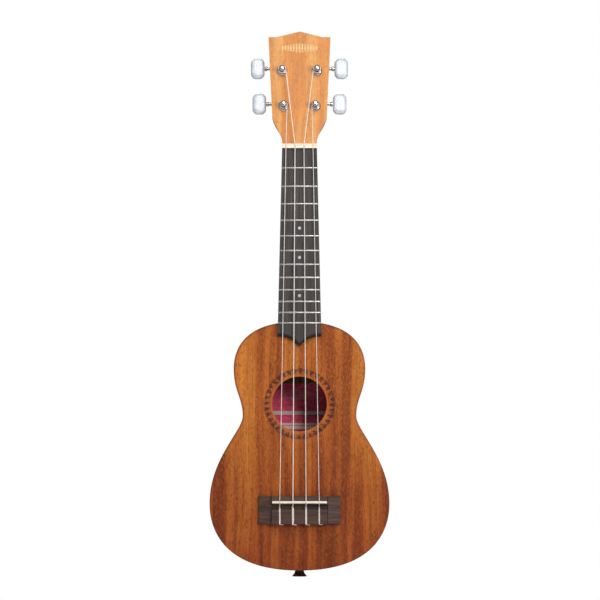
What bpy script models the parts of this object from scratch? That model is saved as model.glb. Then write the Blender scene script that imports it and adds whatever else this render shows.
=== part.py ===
# A soprano ukulele with open-geared tuners, modelled as its separate pieces.
#
# Pieces are laid out in the frame of the instrument's face: x across, y up the neck
# with zero at the nut's playing edge, z out of the soundboard towards the player.
# The empty face_frame stands that frame upright and puts the world's origin on the
# back of the neck at the nut, where the yoke of a wall hanger carries the instrument.
# The empty head_frame lies on the face of the headstock, which leans back.

import math

import bmesh
import bpy
from mathutils import Vector

MM = 0.001
GAP = 0.3 * MM  # left between pieces that touch
PAST = 5 * MM  # how far a cutter runs on past what it cuts

# Scale, frets and fretboard
SCALE_LENGTH = 345 * MM
FRET_COUNT = 12
NUT_WIDTH = 34.5 * MM
BOARD_WIDTH_AT_BODY = 42.7 * MM
BOARD_THICKNESS = 4.5 * MM
BOARD_PAST_BODY = 13 * MM  # to the corners of the board's end
BOARD_TIP = 9.4 * MM  # from those corners to the point of the end
FRET_CROWN = (1.9 * MM, 0.9 * MM)  # width, height
FRET_TANG = (0.5 * MM, 1.6 * MM)  # width, depth
NUT_THICKNESS = 4.7 * MM
NUT_ABOVE_BOARD = 2.9 * MM
NUT_FALL = 2.9 * MM  # how far its back edge is lower, towards the head
NUT_FLAT = 1.6 * MM  # the level strip beside the fretboard

# Neck and headstock
NECK_DEPTH_AT_NUT = 14.5 * MM
NECK_DEPTH_AT_HEEL = 16.5 * MM
HEEL_DEPTH = 50 * MM
HEEL_REACH = 32 * MM
HEAD_TILT = math.radians(14)
HEAD_START = NUT_THICKNESS + 0.8 * MM
HEAD_THICKNESS = 12 * MM
HEAD_LENGTH = 108.4 * MM  # to the top corners, along the head's face
HEAD_PEAK = 5.9 * MM  # the point in the middle rises this much more
HEAD_PEAK_HALF = 20 * MM
HEAD_HALF_AT_THROAT = NUT_WIDTH / 2 + 0.1 * MM
HEAD_HALF_AT_SHOULDER = 26.9 * MM
HEAD_HALF_AT_TOP = 30.7 * MM
THROAT_AT = 3 * MM
SHOULDER_AT = 27 * MM

# Body outline, as half widths and as distances below the nut
BODY_TOP_AT = SCALE_LENGTH / 2 - 1.3 * MM
UPPER_BOUT_HALF = 65 * MM
WAIST_HALF = 56.1 * MM
LOWER_BOUT_HALF = 88.9 * MM
UPPER_BOUT_DOWN = 46.9 * MM  # each measured from the top of the body
WAIST_DOWN = 93 * MM
LOWER_BOUT_DOWN = 179.9 * MM
BODY_LENGTH = 246.1 * MM
BODY_DEPTH = 58 * MM
PLATE_THICKNESS = 2 * MM
SIDE_THICKNESS = 2 * MM
SOUNDHOLE_RADIUS = 27 * MM
SOUNDHOLE_DOWN = 81.4 * MM

# Inside the body
LINING_THICKNESS = 4 * MM
LINING_HEIGHT = 8 * MM
NECK_BLOCK_HALF = 24 * MM
NECK_BLOCK_LENGTH = 22 * MM
TAIL_BLOCK_HALF = 28 * MM
TAIL_BLOCK_LENGTH = 12 * MM
BRACE_WIDTH = 6 * MM
BRACE_HEIGHT = 7 * MM
BRACE_CLEAR_OF_HOLE = 8 * MM
BACK_BRACES_DOWN = (58 * MM, 140 * MM)

# Bridge and saddle
BRIDGE_LENGTH = 81 * MM
BRIDGE_WIDTH = 27.6 * MM
BRIDGE_END_HEIGHT = 2.8 * MM
BRIDGE_WING_HEIGHT = 4.4 * MM
BRIDGE_BLOCK_LENGTH = 54.9 * MM
BRIDGE_BLOCK_HEIGHT = 8 * MM
BRIDGE_BLOCK_SLOPE = 0.6 * MM  # how far its ends lean out
BRIDGE_FRONT_TO_SADDLE = 6 * MM
SADDLE_COMPENSATION = 4.6 * MM
SADDLE_THICKNESS = 2.4 * MM
SADDLE_CROWN = 1 * MM  # how much its top is rounded
SADDLE_HEIGHT = 5.4 * MM
SADDLE_SLOT_FLOOR = BRIDGE_WING_HEIGHT + 0.2 * MM  # above the soundboard, open over the wings
TIE_CHANNEL_WIDTH = 4.6 * MM
TIE_CHANNEL_FLOOR = 3.4 * MM
TIE_HOLE_RADIUS = 0.9 * MM
TIE_HOLE_HEIGHT = 5.2 * MM
CHANNEL_BEHIND_SADDLE = 2.5 * MM  # from the saddle's middle

# Strings, left to right: g, c, e and a
STRING_RADII = (0.36 * MM, 0.5 * MM, 0.42 * MM, 0.33 * MM)
STRING_PITCH_AT_NUT = 8.9 * MM
STRING_PITCH_AT_SADDLE = 13 * MM
STRING_OVER_FIRST_FRET = 0.6 * MM
NUT_SLOT_LENGTH = 0.66 * NUT_THICKNESS  # where a string leaves its slot towards the post
WINDING_TURNS = 2.5
WINDING_CLEARANCE = 0.5 * MM  # the turns stand off the post, which turns inside them
WINDING_LIFT = 0.6 * MM

# Tuners: the worm lies behind the head and turns the gear on the post's lower end
POST_X = (15.7 * MM, 17.3 * MM)  # lower row, upper row
POST_ALONG_HEAD = (37.5 * MM, 73.9 * MM)
POST_RADIUS = 3 * MM
POST_HEIGHT = 12.5 * MM
POST_JOURNAL_RADIUS = 2 * MM
POST_CHAMFER = 0.9 * MM
STRING_HOLE_RADIUS = 0.7 * MM
STRING_HOLE_DOWN = 3 * MM  # from the top of the post
FERRULE_WALL = 0.9 * MM
FERRULE_FLANGE_RADIUS = 5.3 * MM
FERRULE_FLANGE_HEIGHT = 2 * MM
FERRULE_DEPTH = 8 * MM
RUNNING_GAP = 0.3 * MM
GEAR_TEETH = 14
GEAR_MODULE = 0.65 * MM
GEAR_WIDTH = 3 * MM
GEAR_HUB_RADIUS = 3.2 * MM
WORM_PITCH_RADIUS = 2.3 * MM
TOOTH_BACKLASH = 0.24 * MM  # taken off each tooth and off the thread, at the pitch line
TIP_CLEARANCE = 0.15 * MM
WORM_BEHIND_HEAD = 5.5 * MM
TUNER_PLATE = (13 * MM, 31 * MM, 1 * MM)  # across, along, thick
TUNER_PLATE_SHIFT = 3.2 * MM
PLATE_SCREW_RADIUS = 1.3 * MM
PLATE_SCREW_INSET = 2.8 * MM
LUG_THICKNESS = 1 * MM
LUG_WIDTH = 7 * MM
LUG_OUTER = 6.3 * MM
SHAFT_RADIUS = 1.75 * MM
COLLAR_RADIUS = 2.5 * MM
COLLAR_LENGTH = 2.3 * MM
BUTTON_FROM_POST = 17.35 * MM
BUTTON_LENGTH = 13.5 * MM
BUTTON_WIDTH = 20.8 * MM
BUTTON_THICKNESS = 8 * MM
BUTTON_BORE_DEPTH = 9 * MM

# Strap button
STRAP_BUTTON_NECK_RADIUS = 4.4 * MM
STRAP_BUTTON_END_RADIUS = 7.2 * MM
STRAP_BUTTON_LENGTH = 6.4 * MM
STRAP_SCREW_RADIUS = 2 * MM
STRAP_SCREW_LENGTH = 13 * MM
STRAP_SCREW_POINT = 3 * MM
STRAP_BUTTON_CHAMFER = 0.8 * MM

# Worked out from the sizes above
FACE_BOTTOM = -PLATE_THICKNESS
BACK_TOP = -(BODY_DEPTH - PLATE_THICKNESS)
RIM_TOP = FACE_BOTTOM - GAP
RIM_BOTTOM = BACK_TOP + GAP
SIDE_INSIDE = SIDE_THICKNESS + GAP
LINING_INSIDE = SIDE_INSIDE + LINING_THICKNESS
BOARD_TOP = GAP + BOARD_THICKNESS
BOARD_END_AT = SCALE_LENGTH / 2 + BOARD_PAST_BODY
BOARD_FLARE = (BOARD_WIDTH_AT_BODY - NUT_WIDTH) / (SCALE_LENGTH / 2)
SADDLE_AT = SCALE_LENGTH + SADDLE_COMPENSATION
SADDLE_TOP = SADDLE_SLOT_FLOOR + GAP + SADDLE_HEIGHT
BRIDGE_FRONT_AT = SADDLE_AT - BRIDGE_FRONT_TO_SADDLE
BRIDGE_BACK_AT = BRIDGE_FRONT_AT + BRIDGE_WIDTH
TIE_BLOCK_AT = SADDLE_AT + CHANNEL_BEHIND_SADDLE + TIE_CHANNEL_WIDTH
NUT_TOP = BOARD_TOP + NUT_ABOVE_BOARD
GEAR_PITCH_RADIUS = GEAR_TEETH * GEAR_MODULE / 2
WORM_LEAD = math.pi * GEAR_MODULE
WORM_TO_POST = GEAR_PITCH_RADIUS + WORM_PITCH_RADIUS
WORM_LEVEL = -(HEAD_THICKNESS + WORM_BEHIND_HEAD)
TUNER_PLATE_BACK = -(HEAD_THICKNESS + GAP + TUNER_PLATE[2])
FERRULE_BORE = POST_RADIUS + RUNNING_GAP
FERRULE_RADIUS = FERRULE_BORE + FERRULE_WALL
BODY_SPAN_STEPS = 12


# Mesh and object helpers

def clear_scene():
    for thing in list(bpy.data.objects):
        bpy.data.objects.remove(thing, do_unlink=True)
    for mesh in list(bpy.data.meshes):
        bpy.data.meshes.remove(mesh)


def principled(name, colour, roughness, metallic=0.0):
    """One plain material: the piece's own colour and how it shines."""
    material = bpy.data.materials.new(name)
    material.use_nodes = True
    shader = material.node_tree.nodes["Principled BSDF"]
    shader.inputs["Base Color"].default_value = (*colour, 1)
    shader.inputs["Roughness"].default_value = roughness
    shader.inputs["Metallic"].default_value = metallic
    material.diffuse_color = (*colour, 1)
    return material


def mesh_of(name, points, faces, smooth_below=None):
    """A mesh whose faces point out; edges sharper than smooth_below degrees stay sharp."""
    mesh = bpy.data.meshes.new(name)
    mesh.from_pydata([tuple(point) for point in points], [], faces)
    shape = bmesh.new()
    shape.from_mesh(mesh)
    bmesh.ops.recalc_face_normals(shape, faces=shape.faces)
    shape.to_mesh(mesh)
    shape.free()
    if smooth_below:
        mesh.shade_smooth()
        mesh.set_sharp_from_angle(angle=math.radians(smooth_below))
    return mesh


def place(name, mesh, material, parent, at=(0, 0, 0), rotation=(0, 0, 0)):
    piece = bpy.data.objects.new(name, mesh)
    bpy.context.scene.collection.objects.link(piece)
    piece.parent = parent
    piece.location = at
    piece.rotation_euler = rotation
    if material and not mesh.materials:
        mesh.materials.append(material)
    return piece


def empty(name, parent=None, at=(0, 0, 0), rotation=(0, 0, 0)):
    frame = bpy.data.objects.new(name, None)
    bpy.context.scene.collection.objects.link(frame)
    frame.parent = parent
    frame.location = at
    frame.rotation_euler = rotation
    return frame


def cutter(name, mesh, parent, at=(0, 0, 0), rotation=(0, 0, 0)):
    """A helper that shapes other pieces and isn't one itself."""
    tool = place(name, mesh, None, parent, at, rotation)
    tool.hide_render = True
    tool.display_type = "WIRE"
    return tool


def boolean(piece, tool, operation="DIFFERENCE"):
    step = piece.modifiers.new(tool.name, "BOOLEAN")
    step.operation = operation
    step.object = tool
    step.solver = "EXACT"


def prism(name, outline, low, high, smooth_below=None):
    """The closed (x, y) outline, extruded from z = low to z = high."""
    count = len(outline)
    points = [(x, y, low) for x, y in outline] + [(x, y, high) for x, y in outline]
    faces = [tuple(range(count)), tuple(range(count, 2 * count))]
    faces += [(i, (i + 1) % count, count + (i + 1) % count, count + i) for i in range(count)]
    return mesh_of(name, points, faces, smooth_below)


def rings_mesh(name, rings, closed_path=False, smooth_below=None):
    """Skins closed rings of points, one after another, and caps the ends."""
    count = len(rings[0])
    points = [point for ring in rings for point in ring]
    faces = []
    for i in range(len(rings) if closed_path else len(rings) - 1):
        here = i * count
        there = (i + 1) % len(rings) * count
        for j in range(count):
            k = (j + 1) % count
            faces.append((here + j, here + k, there + k, there + j))
    if not closed_path:
        faces.append(tuple(range(count)))
        faces.append(tuple(range(len(points) - count, len(points))))
    return mesh_of(name, points, faces, smooth_below)


def turned(name, profile, steps=16, closed_profile=False, smooth_below=40):
    """A lathe about z: (radius, z) pairs, closed on itself for a ring with a bore."""
    rings = [
        [(r * math.cos(a), r * math.sin(a), z) for a in angles(steps)] for r, z in profile
    ]
    return rings_mesh(name, rings, closed_profile, smooth_below)


def angles(steps):
    return [2 * math.pi * i / steps for i in range(steps)]


def box_outline(half_across, low, high):
    return [(-half_across, low), (half_across, low), (half_across, high), (-half_across, high)]


def bezier(start, lead, trail, end, steps):
    """Points along a cubic curve, without its last one."""
    start, lead, trail, end = (Vector(point) for point in (start, lead, trail, end))
    points = []
    for i in range(steps):
        t = i / steps
        near = (1 - t) ** 3 * start + 3 * t * (1 - t) ** 2 * lead
        points.append(near + 3 * t * t * (1 - t) * trail + t**3 * end)
    return points


def half_circle(steps):
    """(cosine, sine) pairs from one side over the top to the other."""
    return [(math.cos(math.pi * i / steps), math.sin(math.pi * i / steps)) for i in range(steps + 1)]


def smoothstep(t):
    t = min(max(t, 0.0), 1.0)
    return t * t * (3 - 2 * t)


def between(low, high, share):
    return low + (high - low) * share


# Body outline

def half_outline(inset=0.0, steps=BODY_SPAN_STEPS):
    """The right half of the outline, from the top of the body to its tail.

    Each bout and the waist is a station where the curve runs straight down; the
    curve between two stations has handles that are shares of their distance.
    """
    top = -BODY_TOP_AT
    upper = top - UPPER_BOUT_DOWN
    waist = top - WAIST_DOWN
    lower = top - LOWER_BOUT_DOWN
    tail = top - BODY_LENGTH
    first = upper - waist
    second = waist - lower
    curve = bezier(
        (0, top), (0.87 * UPPER_BOUT_HALF, top),
        (UPPER_BOUT_HALF, upper + 0.39 * UPPER_BOUT_DOWN), (UPPER_BOUT_HALF, upper), steps,
    )
    curve += bezier(
        (UPPER_BOUT_HALF, upper), (UPPER_BOUT_HALF, upper - 0.47 * first),
        (WAIST_HALF, waist + 0.37 * first), (WAIST_HALF, waist), steps,
    )
    curve += bezier(
        (WAIST_HALF, waist), (WAIST_HALF, waist - 0.18 * second),
        (LOWER_BOUT_HALF, lower + 0.515 * second), (LOWER_BOUT_HALF, lower), steps,
    )
    curve += bezier(
        (LOWER_BOUT_HALF, lower), (LOWER_BOUT_HALF, lower - 0.37 * (lower - tail)),
        (0.857 * LOWER_BOUT_HALF, tail), (0, tail), steps,
    )
    curve.append(Vector((0, tail)))
    if not inset:
        return curve
    moved = []
    for i, point in enumerate(curve):
        along = curve[min(i + 1, len(curve) - 1)] - curve[max(i - 1, 0)]
        if i in (0, len(curve) - 1):
            along = Vector((1 if i == 0 else -1, 0))
        inward = Vector((along.y, -along.x)).normalized()
        moved.append(point + inset * inward)
    return moved


def whole_outline(inset=0.0):
    right = half_outline(inset)
    return right + [Vector((-p.x, p.y)) for p in reversed(right[1:-1])]


def half_width_at(y, inset):
    """How far the outline, moved in by inset, reaches from the centreline at y."""
    return crossing(half_outline(inset), y, 1)


def end_at(x, inset, tail):
    """Where the outline's top or tail end lies at x from the centreline."""
    curve = half_outline(inset)
    middle = len(curve) // 2
    return crossing(curve[middle:] if tail else curve[:middle], abs(x), 0)


def crossing(curve, value, axis):
    for a, b in zip(curve, curve[1:]):
        low, high = sorted((a[axis], b[axis]))
        if low <= value <= high and low != high:
            share = (value - a[axis]) / (b[axis] - a[axis])
            return between(a[1 - axis], b[1 - axis], share)
    return curve[0][1 - axis]


def band(outer_inset, inner_inset, top_clear, tail_clear):
    """A strip that follows the right half of the rim, clear of the centreline at its ends."""
    def trimmed(inset):
        curve = half_outline(inset)
        middle = len(curve) // 2
        top = [Vector((top_clear, end_at(top_clear, inset, False)))]
        tail = [Vector((tail_clear, end_at(tail_clear, inset, True)))]
        clear = 0.4 * MM
        upper = [p for p in curve[:middle] if p.x > top_clear + clear]
        lower = [p for p in curve[middle:] if p.x > tail_clear + clear]
        return top + upper + lower + tail

    return trimmed(outer_inset) + list(reversed(trimmed(inner_inset)))


def mirrored(outline):
    return [Vector((-p[0], p[1])) for p in reversed(outline)]


# The body

def build_plates(face, wood):
    top = place("soundboard", prism("soundboard", whole_outline(), FACE_BOTTOM, 0, 40), wood, face)
    hole = turned("soundhole_tool", [(SOUNDHOLE_RADIUS, -PAST), (SOUNDHOLE_RADIUS, PAST)], 48)
    boolean(top, cutter("soundhole_tool", hole, face, (0, -BODY_TOP_AT - SOUNDHOLE_DOWN, 0)))
    place("back", prism("back", whole_outline(), -BODY_DEPTH, BACK_TOP, 40), wood, face)


def build_sides(face, wood, screw_hole):
    strip = band(0, SIDE_THICKNESS, GAP / 2, GAP / 2)
    for name, outline in (("side_treble", strip), ("side_bass", mirrored(strip))):
        side = place(name, prism(name, outline, RIM_BOTTOM, RIM_TOP, 40), wood, face)
        boolean(side, screw_hole)


def build_linings(face, wood):
    strip = band(SIDE_INSIDE, LINING_INSIDE, NECK_BLOCK_HALF + GAP, TAIL_BLOCK_HALF + GAP)
    for side, outline in (("treble", strip), ("bass", mirrored(strip))):
        for edge, low in (("top", RIM_TOP - LINING_HEIGHT), ("back", RIM_BOTTOM)):
            name = f"lining_{edge}_{side}"
            place(name, prism(name, outline, low, low + LINING_HEIGHT, 40), wood, face)


def build_blocks(face, wood, screw_hole):
    """The neck block and tail block fit the curve of the rim at either end."""
    shares = [i / 4 - 1 for i in range(9)]
    ends = (
        ("neck_block", NECK_BLOCK_HALF, -NECK_BLOCK_LENGTH, False),
        ("tail_block", TAIL_BLOCK_HALF, TAIL_BLOCK_LENGTH, True),
    )
    for name, half, length, tail in ends:
        outline = [(s * half, end_at(s * half, SIDE_INSIDE, tail)) for s in shares]
        inner = end_at(0, SIDE_INSIDE, tail) + length
        outline += [(half, inner), (-half, inner)]
        block = place(name, prism(name, outline, RIM_BOTTOM, RIM_TOP), wood, face)
        if tail:
            boolean(block, screw_hole)


def build_brace(name, down, low, high, face, wood):
    """A bar across the body, cut short of the linings."""
    y = -BODY_TOP_AT - down
    ends = [half_width_at(y + s * BRACE_WIDTH / 2, LINING_INSIDE + GAP) for s in (-1, 1)]
    outline = box_outline(min(ends), y - BRACE_WIDTH / 2, y + BRACE_WIDTH / 2)
    place(name, prism(name, outline, low, high), wood, face)


def build_braces(face, wood):
    reach = SOUNDHOLE_RADIUS + BRACE_CLEAR_OF_HOLE
    top = (RIM_TOP - BRACE_HEIGHT, RIM_TOP)
    back = (RIM_BOTTOM, RIM_BOTTOM + BRACE_HEIGHT)
    build_brace("brace_top_upper", SOUNDHOLE_DOWN - reach, *top, face, wood)
    build_brace("brace_top_lower", SOUNDHOLE_DOWN + reach, *top, face, wood)
    build_brace("brace_back_upper", BACK_BRACES_DOWN[0], *back, face, wood)
    build_brace("brace_back_lower", BACK_BRACES_DOWN[1], *back, face, wood)


def strap_button_place():
    return (0, -BODY_TOP_AT - BODY_LENGTH - GAP, -BODY_DEPTH / 2)


def build_strap_button(face, plastic):
    """A flared knob with its screw running into the tail block."""
    flared_length = 0.8 * STRAP_BUTTON_LENGTH
    rim_length = 0.92 * STRAP_BUTTON_LENGTH
    profile = [
        (STRAP_SCREW_RADIUS * 0.4, STRAP_SCREW_LENGTH),
        (STRAP_SCREW_RADIUS, STRAP_SCREW_LENGTH - STRAP_SCREW_POINT),
        (STRAP_SCREW_RADIUS, 0),
        (STRAP_BUTTON_NECK_RADIUS, 0),
    ]
    for i in range(1, 5):
        share = i / 4
        radius = between(STRAP_BUTTON_NECK_RADIUS, STRAP_BUTTON_END_RADIUS, share**1.3)
        profile.append((radius, -share * flared_length))
    profile.append((STRAP_BUTTON_END_RADIUS, -rim_length))
    profile.append((STRAP_BUTTON_END_RADIUS - STRAP_BUTTON_CHAMFER, -STRAP_BUTTON_LENGTH))
    knob = turned("strap_button", profile, 18)
    place("strap_button", knob, plastic, face, strap_button_place(), (-math.pi / 2, 0, 0))


def strap_screw_tool(face):
    bore = STRAP_SCREW_RADIUS + GAP
    length = STRAP_SCREW_LENGTH + GAP
    rod = turned("strap_screw_tool", [(bore, -PAST), (bore, length)])
    return cutter("strap_screw_tool", rod, face, strap_button_place(), (-math.pi / 2, 0, 0))


# Neck and headstock

def neck_half_width(y):
    return NUT_WIDTH / 2 - BOARD_FLARE / 2 * y


def neck_depth(y):
    """A shallow taper, and the heel that swings down in an arc to meet the body."""
    depth = between(NECK_DEPTH_AT_NUT, NECK_DEPTH_AT_HEEL, -y / BODY_TOP_AT)
    near = (y + BODY_TOP_AT) / HEEL_REACH
    if near >= 1:
        return depth
    arc = 1 - math.sqrt(max(0.0, 1 - (1 - max(near, 0)) ** 2))
    return depth + (HEEL_DEPTH - NECK_DEPTH_AT_HEEL) * arc


def head_half_width(u):
    """Straight from the throat, swinging out to the shoulder, then a slow flare to the top."""
    if u >= SHOULDER_AT:
        share = (u - SHOULDER_AT) / (HEAD_LENGTH - SHOULDER_AT)
        return between(HEAD_HALF_AT_SHOULDER, HEAD_HALF_AT_TOP, share)
    share = max(0.0, (u - THROAT_AT) / (SHOULDER_AT - THROAT_AT))
    swing = 0.45 * share**2 * (3 - 2 * share) + 0.55 * share
    return between(HEAD_HALF_AT_THROAT, HEAD_HALF_AT_SHOULDER, swing)


def neck_section(half, depth, squareness, middle, down, steps=16):
    """A flat top with a rounded belly: squareness 1 is half an ellipse, near 0 a box."""
    ring = []
    for i in range(steps + 1):
        angle = math.pi * i / steps
        x = half * math.copysign(abs(math.cos(angle)) ** squareness, math.cos(angle))
        fall = depth * abs(math.sin(angle)) ** squareness
        ring.append((x, middle[0] + down[0] * fall, middle[1] + down[1] * fall))
    return ring


def neck_stations():
    """Places along the neck and head, close together where the shape turns."""
    heel = [-BODY_TOP_AT + HEEL_REACH * s for s in (-0.12, 0, 0.04, 0.1, 0.2, 0.35, 0.55, 0.78, 1)]
    shaft = [-BODY_TOP_AT * s for s in (0.6, 0.4, 0.2, 0.08)]
    throat = [HEAD_START + SHOULDER_AT * (i / 10) for i in range(1, 11)]
    middle = HEAD_START + 0.6 * HEAD_LENGTH
    top = HEAD_START + HEAD_LENGTH + HEAD_PEAK + 1 * MM  # the tip is cut from this
    return heel + shaft + [0, HEAD_START] + throat + [middle, top]


def build_neck(face, head, wood):
    rings = []
    for p in neck_stations():
        turn = smoothstep((p - HEAD_START + 2 * MM) / (20 * MM))
        lean = HEAD_TILT * turn
        past = max(0.0, p - HEAD_START)
        on_top = (min(p, HEAD_START) + past * math.cos(HEAD_TILT), -past * math.sin(HEAD_TILT))
        down = (-math.sin(lean), -math.cos(lean))
        shape = smoothstep((p - 2 * MM) / (26 * MM))
        depth = between(neck_depth(min(p, 0)), HEAD_THICKNESS, shape)
        half = head_half_width(past) if past else neck_half_width(p)
        rings.append(neck_section(half, depth, between(0.9, 0.16, shape), on_top, down))
    neck = place("neck", rings_mesh("neck", rings, smooth_below=35), wood, face)
    body = prism("body_tool", whole_outline(-GAP), -BODY_DEPTH - PAST, PAST)
    boolean(neck, cutter("body_tool", body, face))
    boolean(neck, cutter("head_tip_tool", head_tip_mesh(), head))
    bore = FERRULE_RADIUS + GAP
    drill = turned("post_hole_tool", [(bore, -HEAD_THICKNESS - PAST), (bore, PAST)])
    for name, x, u in post_places():
        boolean(neck, cutter(f"post_hole_tool_{name}", drill, head, (x, u, 0)))


def head_tip_mesh():
    """Cuts the top edge: flat at the corners, sweeping up to a point in the middle."""
    far = HEAD_HALF_AT_TOP + PAST
    high = HEAD_LENGTH + HEAD_PEAK + 2 * PAST
    rise = [1 - i / 7 for i in range(8)]
    left = [(-HEAD_PEAK_HALF * s, HEAD_LENGTH + HEAD_PEAK * (1 - s) ** 1.7) for s in rise]
    outline = [(-far, HEAD_LENGTH)] + left + [(-x, y) for x, y in reversed(left[:-1])]
    outline += [(far, HEAD_LENGTH), (far, high), (-far, high)]
    return prism("head_tip_tool", outline, -HEAD_THICKNESS - PAST, PAST)


# Fretboard, frets and nut

def fret_distance(number):
    return SCALE_LENGTH * (1 - 2 ** (-number / 12))


def build_fretboard(face, wood):
    half = neck_half_width(-BOARD_END_AT)
    end = bezier(
        (half, -BOARD_END_AT), (0.6 * half, -BOARD_END_AT - 0.1 * BOARD_TIP),
        (0.4 * half, -BOARD_END_AT - 0.2 * BOARD_TIP), (0.12 * half, -BOARD_END_AT - 0.78 * BOARD_TIP), 8,
    )
    end.append(Vector((0.04 * half, -BOARD_END_AT - BOARD_TIP)))
    right = [Vector((NUT_WIDTH / 2, 0))] + end
    outline = right + mirrored(right)
    board = place("fretboard", prism("fretboard", outline, GAP, BOARD_TOP, 30), wood, face)
    slot_half = FRET_TANG[0] / 2 + GAP
    floor = BOARD_TOP - FRET_TANG[1] - 2 * GAP
    for number in range(1, FRET_COUNT + 1):
        y = -fret_distance(number)
        name = f"fret_slot_tool_{number}"
        slot = prism(name, box_outline(half + PAST, y - slot_half, y + slot_half), floor, BOARD_TOP + PAST)
        boolean(board, cutter(name, slot, face))


def build_frets(face, metal):
    """T-shaped wire: a crown proud of the board and a tang down in its slot."""
    width, height = FRET_CROWN
    tang_half, tang_depth = FRET_TANG[0] / 2, FRET_TANG[1]
    arch = [(width / 2 * across, height * up) for across, up in half_circle(6)]
    tang = [(-tang_half, 0), (-tang_half, -tang_depth), (tang_half, -tang_depth), (tang_half, 0)]
    section = arch + tang
    for number in range(1, FRET_COUNT + 1):
        y = -fret_distance(number)
        half = neck_half_width(y)
        rings = [[(x, y + a, BOARD_TOP + GAP + b) for a, b in section] for x in (-half, half)]
        name = f"fret_{number:02d}"
        place(name, rings_mesh(name, rings, smooth_below=40), metal, face)


def string_places():
    """Each string's name, its order from the middle, its radius and its tuner."""
    names = ("g", "c", "e", "a")
    tuners = ("bass_lower", "bass_upper", "treble_upper", "treble_lower")
    return [(names[i], i - 1.5, STRING_RADII[i], tuners[i]) for i in range(4)]


def nut_string_height():
    return BOARD_TOP + GAP + FRET_CROWN[1] + STRING_OVER_FIRST_FRET


def build_nut(face, bone):
    """Slopes back towards the head, with a slot for each string."""
    outline = [
        (-NUT_THICKNESS, GAP),
        (-GAP, GAP),
        (-GAP, NUT_TOP),
        (-NUT_FLAT, NUT_TOP),
        (-NUT_THICKNESS, NUT_TOP - NUT_FALL),
    ]
    rings = [[(x, -y, z) for y, z in outline] for x in (-NUT_WIDTH / 2, NUT_WIDTH / 2)]
    nut = place("nut", rings_mesh("nut", rings), bone, face)
    for name, order, radius, _ in string_places():
        slot = prism(
            f"nut_slot_tool_{name}", box_outline(radius + GAP, -PAST, NUT_THICKNESS + PAST),
            nut_string_height() - GAP, NUT_TOP + PAST,
        )
        at = (order * STRING_PITCH_AT_NUT, 0, 0)
        boolean(nut, cutter(f"nut_slot_tool_{name}", slot, face, at))


# Bridge and saddle

def build_bridge(face, wood):
    half = BRIDGE_LENGTH / 2
    block = BRIDGE_BLOCK_LENGTH / 2
    front = [
        (half, GAP),
        (half, BRIDGE_END_HEIGHT),
        (block + BRIDGE_BLOCK_SLOPE, BRIDGE_WING_HEIGHT),
        (block, BRIDGE_BLOCK_HEIGHT),
    ]
    section = front + [(-x, z) for x, z in reversed(front)]
    rings = [[(x, y, z) for x, z in section] for y in (-BRIDGE_BACK_AT, -BRIDGE_FRONT_AT)]
    bridge = place("bridge", rings_mesh("bridge", rings), wood, face)
    reach = block + 1 * MM
    slot_half = SADDLE_THICKNESS / 2 + GAP
    over = BRIDGE_BLOCK_HEIGHT + PAST
    slot = box_outline(reach, -SADDLE_AT - slot_half, -SADDLE_AT + slot_half)
    slot = prism("saddle_slot_tool", slot, SADDLE_SLOT_FLOOR, over)
    boolean(bridge, cutter("saddle_slot_tool", slot, face))
    channel = box_outline(reach, -TIE_BLOCK_AT, -TIE_BLOCK_AT + TIE_CHANNEL_WIDTH)
    channel = prism("tie_channel_tool", channel, TIE_CHANNEL_FLOOR, over)
    boolean(bridge, cutter("tie_channel_tool", channel, face))
    through = BRIDGE_BACK_AT - TIE_BLOCK_AT + 2 * MM
    drill = turned("tie_hole_tool", [(TIE_HOLE_RADIUS, -2 * MM), (TIE_HOLE_RADIUS, through)], 10)
    for name, order, _, _ in string_places():
        at = (order * STRING_PITCH_AT_SADDLE, -TIE_BLOCK_AT, TIE_HOLE_HEIGHT)
        boolean(bridge, cutter(f"tie_hole_tool_{name}", drill, face, at, (math.pi / 2, 0, 0)))


def build_saddle(face, bone):
    half = SADDLE_THICKNESS / 2
    low = SADDLE_SLOT_FLOOR + GAP
    crown = SADDLE_CROWN
    arch = [(half * across, SADDLE_TOP - crown + crown * up) for across, up in half_circle(6)]
    section = [(half, low)] + arch + [(-half, low)]
    long_half = BRIDGE_BLOCK_LENGTH / 2 - GAP
    rings = [[(x, a - SADDLE_AT, z) for a, z in section] for x in (-long_half, long_half)]
    place("saddle", rings_mesh("saddle", rings, smooth_below=40), bone, face)


# Tuners

def post_places():
    rows = (("lower", 0), ("upper", 1))
    sides = (("bass", -1), ("treble", 1))
    return [
        (f"{side}_{row}", sign * POST_X[i], POST_ALONG_HEAD[i]) for row, i in rows for side, sign in sides
    ]


def post_mesh():
    shoulder = TUNER_PLATE_BACK
    profile = [
        (POST_JOURNAL_RADIUS, WORM_LEVEL - GEAR_WIDTH / 2 - GAP),
        (POST_JOURNAL_RADIUS, shoulder),
        (POST_RADIUS, shoulder),
        (POST_RADIUS, POST_HEIGHT - POST_CHAMFER),
        (POST_RADIUS - POST_CHAMFER, POST_HEIGHT),
    ]
    return turned("post", profile, smooth_below=50)


def ferrule_mesh():
    profile = [
        (FERRULE_BORE, -FERRULE_DEPTH),
        (FERRULE_RADIUS, -FERRULE_DEPTH),
        (FERRULE_RADIUS, GAP),
        (FERRULE_FLANGE_RADIUS, GAP),
        (FERRULE_FLANGE_RADIUS, GAP + 0.5 * MM),
        (FERRULE_FLANGE_RADIUS - 0.8 * MM, FERRULE_FLANGE_HEIGHT - 0.2 * MM),
        (FERRULE_BORE + 0.3 * MM, FERRULE_FLANGE_HEIGHT),
        (FERRULE_BORE, FERRULE_FLANGE_HEIGHT - 0.2 * MM),
    ]
    return turned("ferrule", profile, closed_profile=True)


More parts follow.
